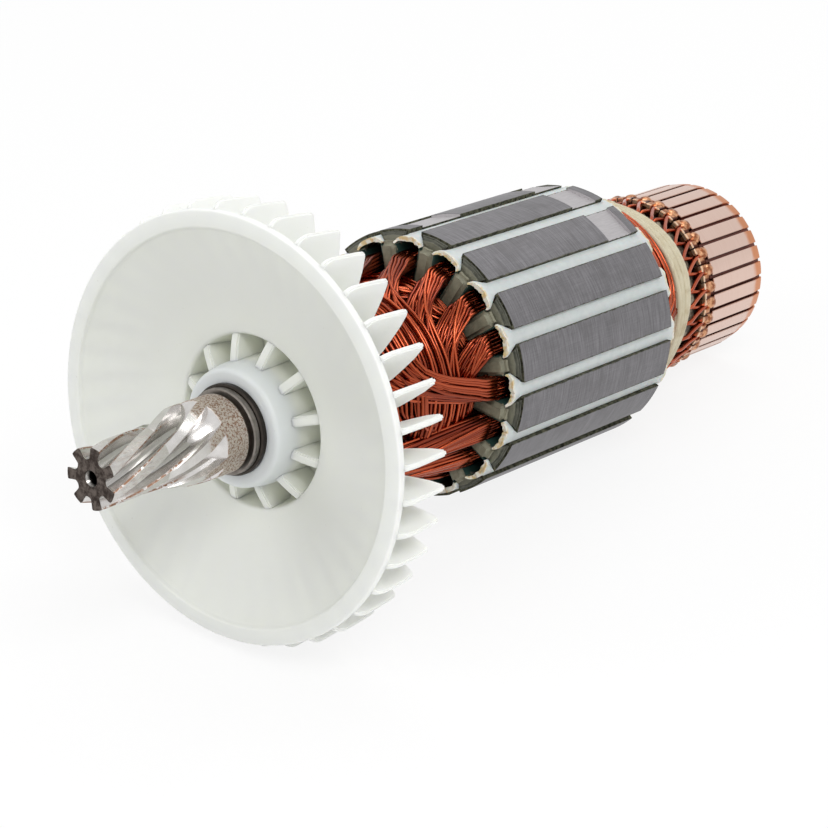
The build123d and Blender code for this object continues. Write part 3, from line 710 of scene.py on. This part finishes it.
def grow(mesh, tree, **inputs):
    """Runs a geometry tree on a mesh and returns the plain mesh that it makes."""
    source = in_scene("source", mesh)
    modifier = source.modifiers.new("shape", "NODES")
    modifier.node_group = tree
    for item in tree.interface.items_tree:
        key = item.name.replace(" ", "_").lower()
        if item.in_out == "INPUT" and key in inputs:
            modifier[item.identifier] = inputs[key]
    graph = bpy.context.evaluated_depsgraph_get()
    shaped = source.evaluated_get(graph)
    result = bpy.data.meshes.new_from_object(shaped, preserve_all_data_layers=True, depsgraph=graph)
    bpy.data.objects.remove(source)
    return result


def joined(name, meshes, material):
    """One mesh from several, in one material."""
    shape = bmesh.new()
    for mesh in meshes:
        shape.from_mesh(mesh)
    result = bpy.data.meshes.new(name)
    shape.to_mesh(result)
    shape.free()
    result.materials.clear()
    if material:
        result.materials.append(material)
    return result


def path_mesh(name, paths, closed):
    """A mesh of bare edges from lists of points, each with its own shade of colour for its wire."""
    points = [p for path, tone in paths for p in path]
    edges = []
    first = 0
    for path, tone in paths:
        last = first + len(path) - 1
        edges += [(i, i + 1) for i in range(first, last)]
        if closed:
            edges.append((last, first))
        first = last + 1
    mesh = bpy.data.meshes.new(name)
    mesh.from_pydata(points, edges, [])
    tones = mesh.attributes.new("tone", "FLOAT", "POINT")
    tones.data.foreach_set("value", [tone for path, tone in paths for p in path])
    return mesh


def end_turn_radius(share, near, far):
    """How far from the shaft an end turn runs: round the turns under it, then straight out to its slot."""
    if far > near + 0.8:
        half_span = radians(COIL_SPAN * SLOT_PITCH / 2)
        straight = acos(near / far)
        return near / cos(max(0.0, (share - 1) * half_span + straight))
    bend = 0.15
    rise = (sqrt(share * share + bend * bend) - bend) / (sqrt(1 + bend * bend) - bend)
    return near + (far - near) * rise


def end_turn(layer, near, start, end, lower, start_height, depth, dome, side, chance):
    """Points of one wire over one end of the core, between its two slots."""
    points = []
    half_span = COIL_SPAN * SLOT_PITCH / 2
    share_of_depth = (layer + 1) / LAYERS
    lift = chance.uniform(-0.1, 0.1)
    for i in range(TURN_STEPS + 1):
        place = TURN_END * sin(pi / 2 * (2 * i / TURN_STEPS - 1))
        leg = start if place < 0 else end
        radius = end_turn_radius(abs(place), near, leg[0])
        angle = place * half_span + half_span
        lean = leg[1] * abs(place) ** 3
        climb = between(CLIMB, abs(place))
        sag = start_height + side * ((depth * share_of_depth * between(dome, radius) - lower) * climb + lift)
        points.append(polar(radius, angle, sag) + polar(lean, angle + 90, 0))
    return points


def wire_turn(number, layer, order, chance, wire):
    """One whole turn of a coil: over the front, down one slot, over the rear and back up the other."""
    start_outer = layer != 0
    end_outer = layer == LAYERS - 1

    def leg(outer):
        columns = OUTER_COLUMNS if outer else INNER_COLUMNS
        row, column = divmod(order, columns)
        top = LEG_OUTER_TOP if outer else LEG_INNER_TOP
        pitch = wire if outer else wire * INNER_PRESSING
        return top - row * pitch, (column - (columns - 1) / 2) * wire

    start = leg(start_outer)
    end = leg(end_outer)
    i, under = divmod(order, 3)
    near = FRONT_NEAR[0] - FRONT_NEAR[1] * i - FRONT_NEAR[2] * under + chance.uniform(-0.06, 0.06)
    lower = 0.62 * under
    front = end_turn(layer, near, start, end, lower, FRONT_START, FRONT_DEPTH, FRONT_DOME, -1, chance)
    rear_near = REAR_NEAR[0] - REAR_NEAR[1] * i - REAR_NEAR[2] * under
    rear = end_turn(layer, rear_near, start, end, lower * 0.6, REAR_START, REAR_DEPTH, REAR_DOME, 1, chance)
    span = COIL_SPAN * SLOT_PITCH
    sway = [Vector((chance.uniform(-0.12, 0.12), chance.uniform(-0.12, 0.12), 0)) for _ in range(4)]

    def in_slot(place, angle, height, shift):
        return polar(place[0], angle, height) + polar(place[1], angle + 90, 0) + shift

    loop = [in_slot(start, 0, 2.0, sway[0]), in_slot(start, 0, -1.8, sway[0])]
    loop += front
    loop += [in_slot(end, span, -1.8, sway[1]), in_slot(end, span, 2.0, sway[1])]
    loop += [in_slot(end, span, CORE_LENGTH - 2, sway[2]), in_slot(end, span, CORE_LENGTH + 1.8, sway[2])]
    loop += rear[::-1]
    loop += [in_slot(start, 0, CORE_LENGTH + 1.8, sway[3]), in_slot(start, 0, CORE_LENGTH - 2, sway[3])]
    turn = Matrix.Rotation(radians(FIRST_SLOT + number * SLOT_PITCH), 3, "Z")
    return [turn @ p for p in loop]


def tooth_outline(radius, inner, slack, head):
    """Outline of one tooth between two slots, from an inner to an outer radius, wider at its head."""
    half = TOOTH_WIDTH / 2 + slack
    return [(inner, -half), (radius - 2.2, -half), (radius - 0.1, -half - head), (radius + 0.2, 0.0),
            (radius - 0.1, half + head), (radius - 2.2, half), (inner, half)]


class ArmatureSizes(bpy.types.PropertyGroup):
    """Sizes and counts that a user may change."""

    wire_diameter: bpy.props.FloatProperty(
        name="Wire Diameter", description="Diameter of the enamelled winding wire",
        default=0.66 * MM, min=0.1 * MM, unit="LENGTH", precision=5)
    turns: bpy.props.IntProperty(
        name="Turns Shown", description="Turns of wire in each of the sixteen coils",
        default=34, min=4, max=35)
    lead_diameter: bpy.props.FloatProperty(
        name="Lead Diameter", description="Diameter of the coil ends that run to the hooks",
        default=0.86 * MM, min=0.1 * MM, unit="LENGTH", precision=5)
    cord_diameter: bpy.props.FloatProperty(
        name="Lacing Diameter", description="Diameter of the cord bound round the coil ends",
        default=1.15 * MM, min=0.1 * MM, unit="LENGTH", precision=5)
    blade_edge: bpy.props.FloatProperty(
        name="Blade Rounding", description="Rounding of the moulded edges of the fan's blades",
        default=0.3 * MM, min=0.0, unit="LENGTH", precision=5)


class ArmatureColours(bpy.types.PropertyGroup):
    """Colours that a user may change."""

    floor: bpy.props.FloatVectorProperty(
        name="Floor", description="Colour of the ground and backdrop", subtype="COLOR", size=3,
        default=linear("#FAFAFA")[:3], min=0.0, max=1.0)
    wire_shade: bpy.props.FloatVectorProperty(
        name="Wire Shade", description="Darkest enamel colour of the winding wire", subtype="COLOR", size=3,
        default=linear("#7A2C16")[:3], min=0.0, max=1.0)
    wire_light: bpy.props.FloatVectorProperty(
        name="Wire Light", description="Lightest enamel colour of the winding wire", subtype="COLOR", size=3,
        default=linear("#BA5632")[:3], min=0.0, max=1.0)


def sizes():
    return bpy.context.scene.armature_sizes


def colours():
    return bpy.context.scene.armature_colours


class ARMATURE_OT_fan(bpy.types.Operator):
    """Moulded fan: hub, ribs, dish, rim band and thirty-nine leaning blades."""

    bl_idname = "armature.fan"
    bl_label = "Fan"

    def body(self):
        dish_opening = (POCKET_RADIUS, -48.1)
        dish_rim = (RIM_START, -54.6)
        front = [
            (8.7, -53.4, 0.0), (11.3, -53.4, 0.9), (HUB_RADIUS, -49.6, 0.6), (12.1, POCKET_FLOOR, 0.5),
            (15.9, POCKET_FLOOR, 0.8), (16.5, -46.6, 1.0), (*dish_opening, 1.3),
        ]
        dish = [(r, z, 0.0) for r, z in arc_through(dish_opening, (28.0, -50.7), dish_rim, 9)]
        back_start = (RIM_START, -52.8)
        rim = [
            (*dish_rim, 0.6), (37.9, -55.3, 0.6), (41.1, -55.0, 0.5), (41.1, -53.5, 0.3), (*back_start, 0.3),
        ]
        back_end = (18.5, -46.3)
        back = [(r, z, 0.0) for r, z in arc_through(back_start, (28.0, -48.9), back_end, 14)]
        rear = [
            (*back_end, 0.4), (18.5, -40.0, 0.4), (13.4, -40.0, 0.8), (12.4, -36.0, 0.5), (8.7, -36.0, 0.0),
        ]
        return to_mesh(revolved(rounded(front + dish + rim + back + rear), 160), "fan_body", 50)

    def blade(self, edge):
        """One blade, thick where it joins the dish's foot and thin at its tip, leaning back about its tip."""
        side = [
            (38.5, -53.6), (40.5, -54.0), (41.3, -53.65), (41.88, -52.95), (42.2, -52.1), (42.3, -51.2),
            (42.05, -47.5), (41.75, -44.2), (41.5, -42.5), (41.0, -42.0), (38.0, -42.0), (34.0, -42.0),
            (31.0, -42.0), (26.0, -43.6), (21.0, -44.9), (21.0, -47.4), (24.0, -48.4), (28.0, -49.7),
            (33.0, -51.4),
        ]
        thickness = [(19.0, 1.6), (31.5, 2.4), (38.0, 1.9), (41.5, 1.0), (44.0, 0.9)]
        near = [(r, -between(thickness, r) / 2, z) for r, z in side]
        far = [(r, between(thickness, r) / 2, z) for r, z in side]
        shape, rim = plate(near, far)
        soften(shape, rim, edge, 3)
        bmesh.ops.triangulate(shape, faces=[f for f in shape.faces if len(f.verts) > 4])
        lean = Matrix.Translation((BLADE_TIP, 0, 0)) @ Matrix.Rotation(radians(-BLADE_LEAN), 4, "Z")
        bmesh.ops.transform(shape, matrix=lean @ Matrix.Translation((-BLADE_TIP, 0, 0)), verts=shape.verts)
        return to_mesh(shape, "fan_blade", 35)

    def rib(self):
        """One rib across the pocket, from the hub to the dish."""
        half = 0.95
        side = [
            (11.2, -49.9), (12.2, -49.75), (15.0, -48.7), (16.6, -47.9), (17.5, -47.2), (17.5, -41.2),
            (11.2, -41.2),
        ]
        shape, _ = plate([(r, -half, z) for r, z in side], [(r, half, z) for r, z in side])
        soften(shape, shape.edges[:], 0.28)
        return to_mesh(shape, "fan_rib", 35)

    def execute(self, context):
        plastic = moulded_polypropylene()
        copies = ring_tree()
        blades = grow(self.blade(sizes().blade_edge / MM), copies, finish=plastic,
                      count=BLADES, first_angle=pi - pi / BLADES, unevenness=0.0, seed=3)
        ribs = grow(self.rib(), copies, finish=plastic,
                    count=RIBS, first_angle=radians(FIRST_RIB), unevenness=0.004, seed=5)
        mesh = joined("moulded_fan", [self.body(), blades, ribs], plastic)
        new_piece("moulded_fan", mesh, "fan")
        return {"FINISHED"}


class ARMATURE_OT_coils(bpy.types.Operator):
    """Sixteen coils of enamelled copper wire, each turn a separate wire."""

    bl_idname = "armature.coils"
    bl_label = "Coils"

    def execute(self, context):
        shades = ((*shade, 1.0) for shade in (colours().wire_shade, colours().wire_light))
        copper = enamelled_copper("enamelled_copper", *shades)
        wire = sizes().wire_diameter / MM
        strands = strand_tree()
        for number in range(SLOTS):
            chance = random.Random(100 + number)
            layer = (LAST_WOUND - 1 - number) % LAYERS
            turns = []
            for order in range(sizes().turns):
                turns.append((wire_turn(number, layer, order, chance, wire), chance.random()))
            mesh = grow(path_mesh("turns", turns, True), strands, finish=copper,
                        strand_radius=wire / 2, sides=7, steps=2)
            name = f"coil_{number + 1:02d}"
            new_piece(f"wound_{name}", mesh, name)
        return {"FINISHED"}


class ARMATURE_OT_leads(bpy.types.Operator):
    """Two coil ends for each hook: one leans across from the lacing, one rises out of the filling."""

    bl_idname = "armature.leads"
    bl_label = "Leads"

    def execute(self, context):
        copper = enamelled_copper("enamelled_leads", "#8F3017", "#C4623C")
        chance = random.Random(41)
        # Radius, share of the swing and height along a lead that leans across from the lacing
        leaning = [
            (18.6, 1.5, 65.6), (19.5, 1.2, 67.2), (19.75, 1.0, 68.6), (19.45, 0.7, 70.3),
            (19.1, 0.38, 72.3), (18.85, 0.1, 74.2), (18.6, 0.0, 75.6), (18.2, 0.0, 77.0),
        ]
        # Radius, degrees off the hook and height along a lead that rises out of the filling
        rising = [
            (16.6, -2.5, 69.6), (17.8, -2.0, 70.6), (18.35, -1.4, 71.6), (18.3, -0.8, 72.8),
            (18.0, -0.3, 74.4), (17.7, 0.0, 76.6),
        ]
        paths = []
        for i in range(BARS):
            hook = FIRST_HOOK + i * BAR_PITCH + LEAD_SHIFT + chance.uniform(-0.4, 0.4)
            # The leads that were laid first lean furthest
            swing = 4.5 + 7.0 * cos(radians(hook)) + chance.uniform(-0.8, 0.8)
            lean = [polar(r, hook + swing * share, z) for r, share, z in leaning]
            rise = [polar(r, hook + turn, z) for r, turn, z in rising]
            # The rising leads, lying under the leaning ones, take darker tones, as painted shade.
            paths += [(lean, chance.uniform(0.45, 1.0)), (rise, chance.uniform(0.2, 0.8))]
        mesh = grow(path_mesh("leads", paths, False), strand_tree(), finish=copper,
                    strand_radius=sizes().lead_diameter / MM / 2, sides=10, steps=4)
        new_piece("coil_leads", mesh, "lead_wires")
        return {"FINISHED"}


class ARMATURE_OT_bars(bpy.types.Operator):
    """Thirty-two commutator bars, each with the cheeks of its hook and the bulge where it was welded down."""

    bl_idname = "armature.bars"
    bl_label = "Commutator Bars"

    def bar(self):
        """A segment turned true on the outside, its sides square to its neighbours' gaps."""
        profile = [
            (BAR_INNER, BAR_FRONT), (BAR_STEP, BAR_FRONT), (BAR_STEP, BAR_FACE), (BAR_RADIUS, BAR_FACE),
            (BAR_RADIUS, BAR_TAPER_START), (BAR_RADIUS - BAR_TAPER, BAR_END - BAR_EDGE),
            (BAR_RADIUS - BAR_TAPER - BAR_EDGE, BAR_END), (BAR_INNER, BAR_END),
        ]
        half_pitch = radians(BAR_PITCH / 2)
        shape = bmesh.new()
        columns = []
        for share in (-1.0, -0.5, 0.0, 0.5, 1.0):
            column = []
            for radius, height in profile:
                wide = share * (radius * tan(half_pitch) - BAR_GAP / 2 / cos(half_pitch))
                column.append(shape.verts.new((sqrt(radius * radius - wide * wide), wide, height)))
            columns.append(column)
        for near, far in zip(columns, columns[1:]):
            for i in range(len(profile)):
                j = (i + 1) % len(profile)
                shape.faces.new((near[i], near[j], far[j], far[i]))
        shape.faces.new(columns[0][::-1])
        shape.faces.new(columns[-1])
        bmesh.ops.recalc_face_normals(shape, faces=shape.faces)
        corners = [edge for edge in shape.edges if edge.calc_face_angle(0) > radians(30)]
        soften(shape, corners, 0.1)
        return to_mesh(shape, "bar", 35)

    def cheek(self, side):
        """One cut end beside the wire, a small block at the front of the hook."""
        shape = bmesh.new()
        size = Matrix.Diagonal((*CHEEK_SIZE, 1.0))
        bmesh.ops.create_cube(shape, size=1.0, matrix=Matrix.Translation(CHEEK_PLACE) @ size)
        soften(shape, shape.edges[:], 0.12)
        turn = Matrix.Rotation(radians(LEAD_SHIFT + side * CHEEK_SPREAD), 4, "Z")
        bmesh.ops.transform(shape, matrix=turn, verts=shape.verts)
        return to_mesh(shape, "cheek", 30)

    def hook(self):
        """Two cheeks and the rounded bulge behind them."""
        shape = bmesh.new()
        bmesh.ops.create_icosphere(shape, subdivisions=3, radius=1.0)
        for vertex in shape.verts:
            # Narrower in its middle than at its foot and crown
            vertex.co.y *= 0.75 + 0.25 * abs(vertex.co.x)
            vertex.co = Vector(BULGE_PLACE) + vertex.co * Vector(BULGE_SIZE)
        return joined("hook", [to_mesh(shape, "bulge", 80), self.cheek(-1), self.cheek(1)], None)

    def execute(self, context):
        copper = turned_copper()
        copies = ring_tree()
        first = radians(FIRST_HOOK)
        bars = grow(self.bar(), copies, finish=copper,
                    count=BARS, first_angle=first, unevenness=0.0, seed=2)
        hooks = grow(self.hook(), copies, finish=copper,
                     count=BARS, first_angle=first, unevenness=0.008, seed=8)
        for vertex in hooks.vertices:
            melt = noise.noise(vertex.co * 0.8)
            ripple = noise.noise(vertex.co * 2.2)
            behind = min(1.0, max(0.0, (vertex.co.z - 75.4) / 0.8))
            vertex.co += vertex.co.normalized() * (0.12 * melt - behind * (0.25 * abs(melt) + 0.22 * ripple))
            vertex.co.z += 0.25 * melt * behind
        mesh = joined("turned_bars", [bars, hooks], copper)
        new_piece("turned_commutator_bars", mesh, "commutator_bars")
        return {"FINISHED"}


class ARMATURE_OT_lacing(bpy.types.Operator):
    """Turns of cream cord over a tape, bound round the coil ends behind the core."""

    bl_idname = "armature.lacing"
    bl_label = "Lacing"

    def execute(self, context):
        cord = waxed_cord()
        chance = random.Random(9)
        thick = sizes().cord_diameter / MM

        def bulge(angle):
            """1 where the band bulges out, -1 where it is drawn in between two bulges."""
            return cos(radians(3 * (angle - LACING_BULGE)))

        def width(angle):
            """How much of the band's full width is left."""
            return 1 - 0.2 * (1 - bulge(angle))

        def uneven(radius, angle, height):
            """How far the tape stands out or in."""
            return LACING_SWELL * bulge(angle) + 0.12 * noise.noise(polar(radius, angle, height) * 0.3)

        tape = revolved(rounded([
            (LACING_RADIUS - 1.5, LACING_START + 0.3, 0.1), (LACING_RADIUS + 0.35, LACING_START + 0.4, 0.4),
            (LACING_RADIUS + 0.35, LACING_END - 0.4, 0.4), (LACING_RADIUS - 1.5, LACING_END - 0.3, 0.1),
        ]), 120, uneven)
        for vertex in tape.verts:
            angle = degrees(atan2(vertex.co.y, vertex.co.x))
            vertex.co.z = LACING_START + (vertex.co.z - LACING_START) * width(angle)
        steps = 40
        low = LACING_START + thick / 2 + 0.05
        high = LACING_END - thick / 2 - 0.05
        path = []
        for i in range(int(LACING_TURNS * steps) + 1):
            t = i / (LACING_TURNS * steps)
            angle = 360 * LACING_TURNS * t
            sway = 0.3 * sin(radians(angle) + 1.0) * sin(pi * t)
            height = low + (high - low) * width(angle) * (t + 0.06 * sin(4 * pi * t)) + sway * width(angle)
            out = LACING_RADIUS + 0.95 + LACING_SWELL * bulge(angle) - thick / 2 + chance.uniform(-0.06, 0.03)
            path.append(polar(out, angle, height))
        wound = grow(path_mesh("cord", [(path, 0.5)], False), strand_tree(), finish=cord,
                     strand_radius=thick / 2, sides=10, steps=2)
        mesh = joined("coil_lacing", [wound, to_mesh(tape, "tape")], cord)
        new_piece("coil_lacing", mesh, "winding_lacing")
        return {"FINISHED"}


class ARMATURE_OT_cement(bpy.types.Operator):
    """Lumpy varnished filling under the leads."""

    bl_idname = "armature.cement"
    bl_label = "Lead Cement"

    def execute(self, context):
        def lumps(radius, angle, height):
            if radius < 12:
                return 0.0
            place = polar(radius, angle, height) * 0.55
            return 0.75 * noise.noise(place) + 0.3 * noise.noise(place * 3)

        outline = [(COLLAR_RADIUS, 68.45), (13.0, 68.45), (16.5, 68.45), (18.1, 68.6)]
        outline += [(18.25 - 0.1 * i, 69.2 + 0.48 * i) for i in range(10)]
        outline += [(17.2, 73.95), (14.7, 73.95), (COLLAR_RADIUS, 73.15)]
        mesh = to_mesh(revolved(outline, 220, lumps), "cement", 60)
        mesh.materials.append(trickle_varnish())
        new_piece("varnished_filling", mesh, "lead_cement")
        return {"FINISHED"}


class ARMATURE_OT_wedges(bpy.types.Operator):
    """Sixteen slot closing strips whose ends flare like fishtails, with frayed edges."""

    bl_idname = "armature.wedges"
    bl_label = "Slot Wedges"

    def strip(self, number):
        """One strip: flat between the teeth, opening past both ends into an arch over the slot's mouth."""
        chance = random.Random(300 + number)
        shape = bmesh.new()
        fray_and_shade = shape.verts.layers.float.new("fray_and_shade")
        offset = chance.uniform(0, 100)
        past = [0, 0.04, 0.1, 0.18, 0.28, 0.38, 0.48, 0.58, 0.68, 0.78, 0.86, 0.93, 1.0]
        stations = [(-1, share) for share in past[::-1]]
        stations += [(0, s / 8) for s in range(1, 8)]
        stations += [(1, share) for share in past]
        rows = []
        for end, share in stations:
            top, bottom = [], []
            for i in range(WEDGE_COLUMNS + 1):
                across = -1 + 2 * i / WEDGE_COLUMNS
                side = abs(across)
                ragged = 0.0
                if end:
                    ragged = 0.5 * noise.noise(Vector((across * 2.0, offset + end * 7, 3.1)))
                    ragged += 0.35 * noise.noise(Vector((across * 6.0, offset + end * 3, 9.2)))
                out = (WEDGE_OVERHANG - 0.5 + 0.6 * side * side + ragged) * share if end else 0.0
                height = share * CORE_LENGTH if end == 0 else (CORE_LENGTH + out if end > 0 else -out)
                spread = min(1.0, out / 1.7) ** 0.75
                wave = 0.05 * noise.noise(Vector((across * 3, height * 0.4, offset)))
                level = WEDGE_TOP + wave + between(ARCH_DROP, side) * spread
                hand = 1 if across > 0 else -1
                wide = (across * WEDGE_HALF) * (1 - spread) + spread * between(ARCH_REACH, side) * hand
                lean = between(ARCH_LEAN, side) * spread * hand
                thick = 0.7 + spread * (0.25 - 0.6 * side ** 3 + 0.25 * ragged)
                top.append(shape.verts.new((level, wide, height)))
                bottom.append(shape.verts.new((level - thick * cos(lean), wide - thick * sin(lean), height)))
                # Cut ends of the top are marked for cream; the underside is marked 2 for painted shade, but 1
                # for cream near its tips.
                top[-1][fray_and_shade] = share if end else 0.0
                bottom[-1][fray_and_shade] = 2.0 if share < 0.9 else 1.0
            rows.append((top, bottom))
        for (top, bottom), (next_top, next_bottom) in zip(rows, rows[1:]):
            for i in range(WEDGE_COLUMNS):
                shape.faces.new((top[i], top[i + 1], next_top[i + 1], next_top[i]))
                shape.faces.new((bottom[i + 1], bottom[i], next_bottom[i], next_bottom[i + 1]))
            shape.faces.new((bottom[0], top[0], next_top[0], next_bottom[0]))
            shape.faces.new((top[-1], bottom[-1], next_bottom[-1], next_top[-1]))
        for top, bottom in (rows[0], rows[-1]):
            for i in range(WEDGE_COLUMNS):
                shape.faces.new((top[i], bottom[i], bottom[i + 1], top[i + 1]))
        bmesh.ops.recalc_face_normals(shape, faces=shape.faces)
        turn = Matrix.Rotation(radians(FIRST_SLOT + number * SLOT_PITCH), 4, "Z")
        bmesh.ops.transform(shape, matrix=turn, verts=shape.verts)
        return to_mesh(shape, "strip", 50)

    def execute(self, context):
        film = wedge_film()
        for number in range(SLOTS):
            mesh = self.strip(number)
            mesh.materials.append(film)
            name = f"slot_wedge_{number + 1:02d}"
            new_piece(f"pressed_{name}", mesh, name)
        return {"FINISHED"}


class ARMATURE_OT_end_insulators(bpy.types.Operator):
    """Fibre pads on both ends of the core: a rounded pad and thin layers on every tooth."""

    bl_idname = "armature.end_insulators"
    bl_label = "End Insulators"

    def pads(self, face, side, seed, collar_end):
        """Meshes of one end: sheets and a pad on every tooth, the disc that joins them and the collar."""
        chance = random.Random(seed)
        meshes = []
        for tooth in range(SLOTS):
            turn = Matrix.Rotation(radians(FIRST_SLOT - SLOT_PITCH / 2 + tooth * SLOT_PITCH), 4, "Z")
            # Three thin sheets and the pad: start, height, growth past the pad, wider head and rounding
            for base, height, growth, head, edge in (
                (0.05, 0.32, 1.3, 1.3, 0.08), (0.42, 0.30, 1.05, 0.9, 0.08), (0.76, 0.30, 0.6, 0.6, 0.08),
                (1.0, PAD_HEIGHT - 1.0, -0.2, 0.15, 0.9),
            ):
                growth = growth + chance.uniform(-0.06, 0.06)
                outline = tooth_outline(PAD_RADIUS + growth, 13.0, 0.15, head)
                low, high = sorted((face + side * base, face + side * (base + height)))
                shape, _ = plate([(x, y, high) for x, y in outline], [(x, y, low) for x, y in outline])
                soften(shape, shape.edges[:], edge, 3 if edge > 0.5 else 1)
                for vertex in shape.verts:
                    push = noise.noise(vertex.co * 0.9 + Vector((tooth * 5, seed, 0))) * 0.22
                    vertex.co += vertex.co.normalized() * push * 0.3
                    vertex.co.y += push * 0.4
                bmesh.ops.transform(shape, matrix=turn, verts=shape.verts)
                meshes.append(to_mesh(shape, "pad", 45))
        # The disc under the pads, and the collar on the shaft's sleeve
        for end, radius, segments in (
            (face + side * PAD_HEIGHT * 0.94, SLOT_BOTTOM, 96),
            (collar_end, COLLAR_RADIUS, 72),
        ):
            low, high = sorted((face, end))
            section = [(SLEEVE_RADIUS, low), (radius, low), (radius, high), (SLEEVE_RADIUS, high)]
            meshes.append(to_mesh(revolved(section, segments), "ring"))
        return meshes

    def execute(self, context):
        fibre = varnished_fibre()
        for name, face, side, seed, collar_end in (
            ("front_end_insulator", 0.0, -1, 11, -28.4),
            ("rear_end_insulator", CORE_LENGTH, 1, 12, 73.2),
        ):
            mesh = joined(f"fibre_{name}", self.pads(face, side, seed, collar_end), fibre)
            new_piece(f"fibre_{name}", mesh, name)
        return {"FINISHED"}


class ARMATURE_OT_metal_parts(bpy.types.Operator):
    """Finishes of the pieces whose solids already have their true form."""

    bl_idname = "armature.metal_parts"
    bl_label = "Shaft, Core and Commutator"

    def execute(self, context):
        finishes = {
            "pinion_shaft": ground_shaft_steel(),
            "retaining_ring": blackened_steel("oiled_ring_steel", "#5A544F", "#A19A93"),
            "fan_bush": blackened_steel("blackened_bush_steel", "#2C2825", "#4A443F"),
            "shaft_sleeve": moulded_sleeve(),
            "core_stack": turned_laminations(),
            "slot_liners": slot_film(),
            "commutator_moulding": filled_phenolic(),
            "commutator_bush": bush_brass(),
        }
        for name, finish in finishes.items():
            node = frame["nodes"][name]
            node.data.materials.clear()
            node.data.materials.append(finish)
        return {"FINISHED"}


class ARMATURE_OT_stage(bpy.types.Operator):
    """Pale floor, soft lamps and the camera at the photograph's angle."""

    bl_idname = "armature.stage"
    bl_label = "Stage"

    def floor(self):
        shape = bmesh.new()
        bmesh.ops.create_grid(shape, x_segments=1, y_segments=1, size=FLOOR_REACH)
        mesh = bpy.data.meshes.new("floor")
        shape.to_mesh(mesh)
        shape.free()
        material = bpy.data.materials.new("pale_floor")
        material.use_nodes = True
        tree = material.node_tree
        tree.nodes.clear()
        paint = add_node(tree, "ShaderNodeBsdfDiffuse", {"Color": (*colours().floor, 1.0)}).outputs[0]
        glow = add_node(tree, "ShaderNodeEmission", {"Color": WHITE, "Strength": 1.0}).outputs[0]
        rays = add_node(tree, "ShaderNodeLightPath").outputs
        seen = maths(tree, "MAXIMUM", rays["Is Camera Ray"], rays["Is Glossy Ray"])
        seen = maths(tree, "MAXIMUM", seen, rays["Is Transmission Ray"])
        amount = maths(tree, "MULTIPLY", seen, FLOOR_GLOW)
        surface = add_node(tree, "ShaderNodeMixShader", {0: amount, 1: paint, 2: glow}).outputs[0]
        add_node(tree, "ShaderNodeOutputMaterial", {"Surface": surface})
        mesh.materials.append(material)
        in_scene("floor", mesh)

    def lamp(self, name, place, size, power):
        light = bpy.data.lights.new(name, "AREA")
        light.shape = "RECTANGLE"
        light.size, light.size_y = size
        light.energy = power
        lamp = in_scene(name, light)
        lamp.location = place
        lamp.rotation_euler = (LAMP_TARGET - Vector(place)).to_track_quat("-Z", "Y").to_euler()

    def execute(self, context):
        self.floor()
        for lamp in LAMPS:
            self.lamp(*lamp)
        world = bpy.data.worlds.new("studio")
        bpy.context.scene.world = world
        world.use_nodes = True
        tree = world.node_tree
        tree.nodes.clear()
        rays = add_node(tree, "ShaderNodeLightPath").outputs
        around, white = (
            add_node(tree, "ShaderNodeBackground", {"Color": WHITE, "Strength": strength}).outputs[0]
            for strength in (WORLD_LIGHT, 1.0)
        )
        mirrored = maths(tree, "MULTIPLY", rays["Is Glossy Ray"], WORLD_MIRRORED)
        seen = maths(tree, "MAXIMUM", rays["Is Camera Ray"], mirrored)
        mixed = add_node(tree, "ShaderNodeMixShader", {0: seen, 1: around, 2: white}).outputs[0]
        add_node(tree, "ShaderNodeOutputWorld", {"Surface": mixed})
        camera = bpy.data.cameras.new("photo_view")
        camera.lens = CAMERA_LENS
        camera.sensor_width = CAMERA_SENSOR
        viewer = in_scene("photo_view", camera)
        viewer.location = CAMERA_PLACE
        viewer.rotation_euler = [radians(angle) for angle in CAMERA_TURN]
        bpy.context.scene.camera = viewer
        bpy.context.scene.view_settings.view_transform = "Standard"
        return {"FINISHED"}


class ARMATURE_PT_pieces(bpy.types.Panel):
    """Lists the armature's pieces in the sidebar."""

    bl_idname = "ARMATURE_PT_pieces"
    bl_label = "Motor Armature"
    bl_space_type = "VIEW_3D"
    bl_region_type = "UI"
    bl_category = "Armature"

    def draw(self, context):
        for group in (context.scene.armature_sizes, context.scene.armature_colours):
            for key in group.bl_rna.properties.keys():
                if key not in ("rna_type", "name"):
                    self.layout.prop(group, key)
        for operator in PIECE_OPERATORS:
            self.layout.operator(operator.bl_idname)


PIECE_OPERATORS = [
    ARMATURE_OT_metal_parts,
    ARMATURE_OT_fan,
    ARMATURE_OT_coils,
    ARMATURE_OT_lacing,
    ARMATURE_OT_leads,
    ARMATURE_OT_bars,
    ARMATURE_OT_cement,
    ARMATURE_OT_wedges,
    ARMATURE_OT_end_insulators,
    ARMATURE_OT_stage,
]
CLASSES = [ArmatureSizes, ArmatureColours, *PIECE_OPERATORS, ARMATURE_PT_pieces]


def register():
    for cls in CLASSES:
        bpy.utils.register_class(cls)
    bpy.types.Scene.armature_sizes = bpy.props.PointerProperty(type=ArmatureSizes)
    bpy.types.Scene.armature_colours = bpy.props.PointerProperty(type=ArmatureColours)


def unregister():
    del bpy.types.Scene.armature_colours
    del bpy.types.Scene.armature_sizes
    for cls in reversed(CLASSES):
        bpy.utils.unregister_class(cls)


def main():
    register()
    for operator in PIECE_OPERATORS:
        group, name = operator.bl_idname.split(".")
        getattr(getattr(bpy.ops, group), name)()


if __name__ == "__main__":
    main()
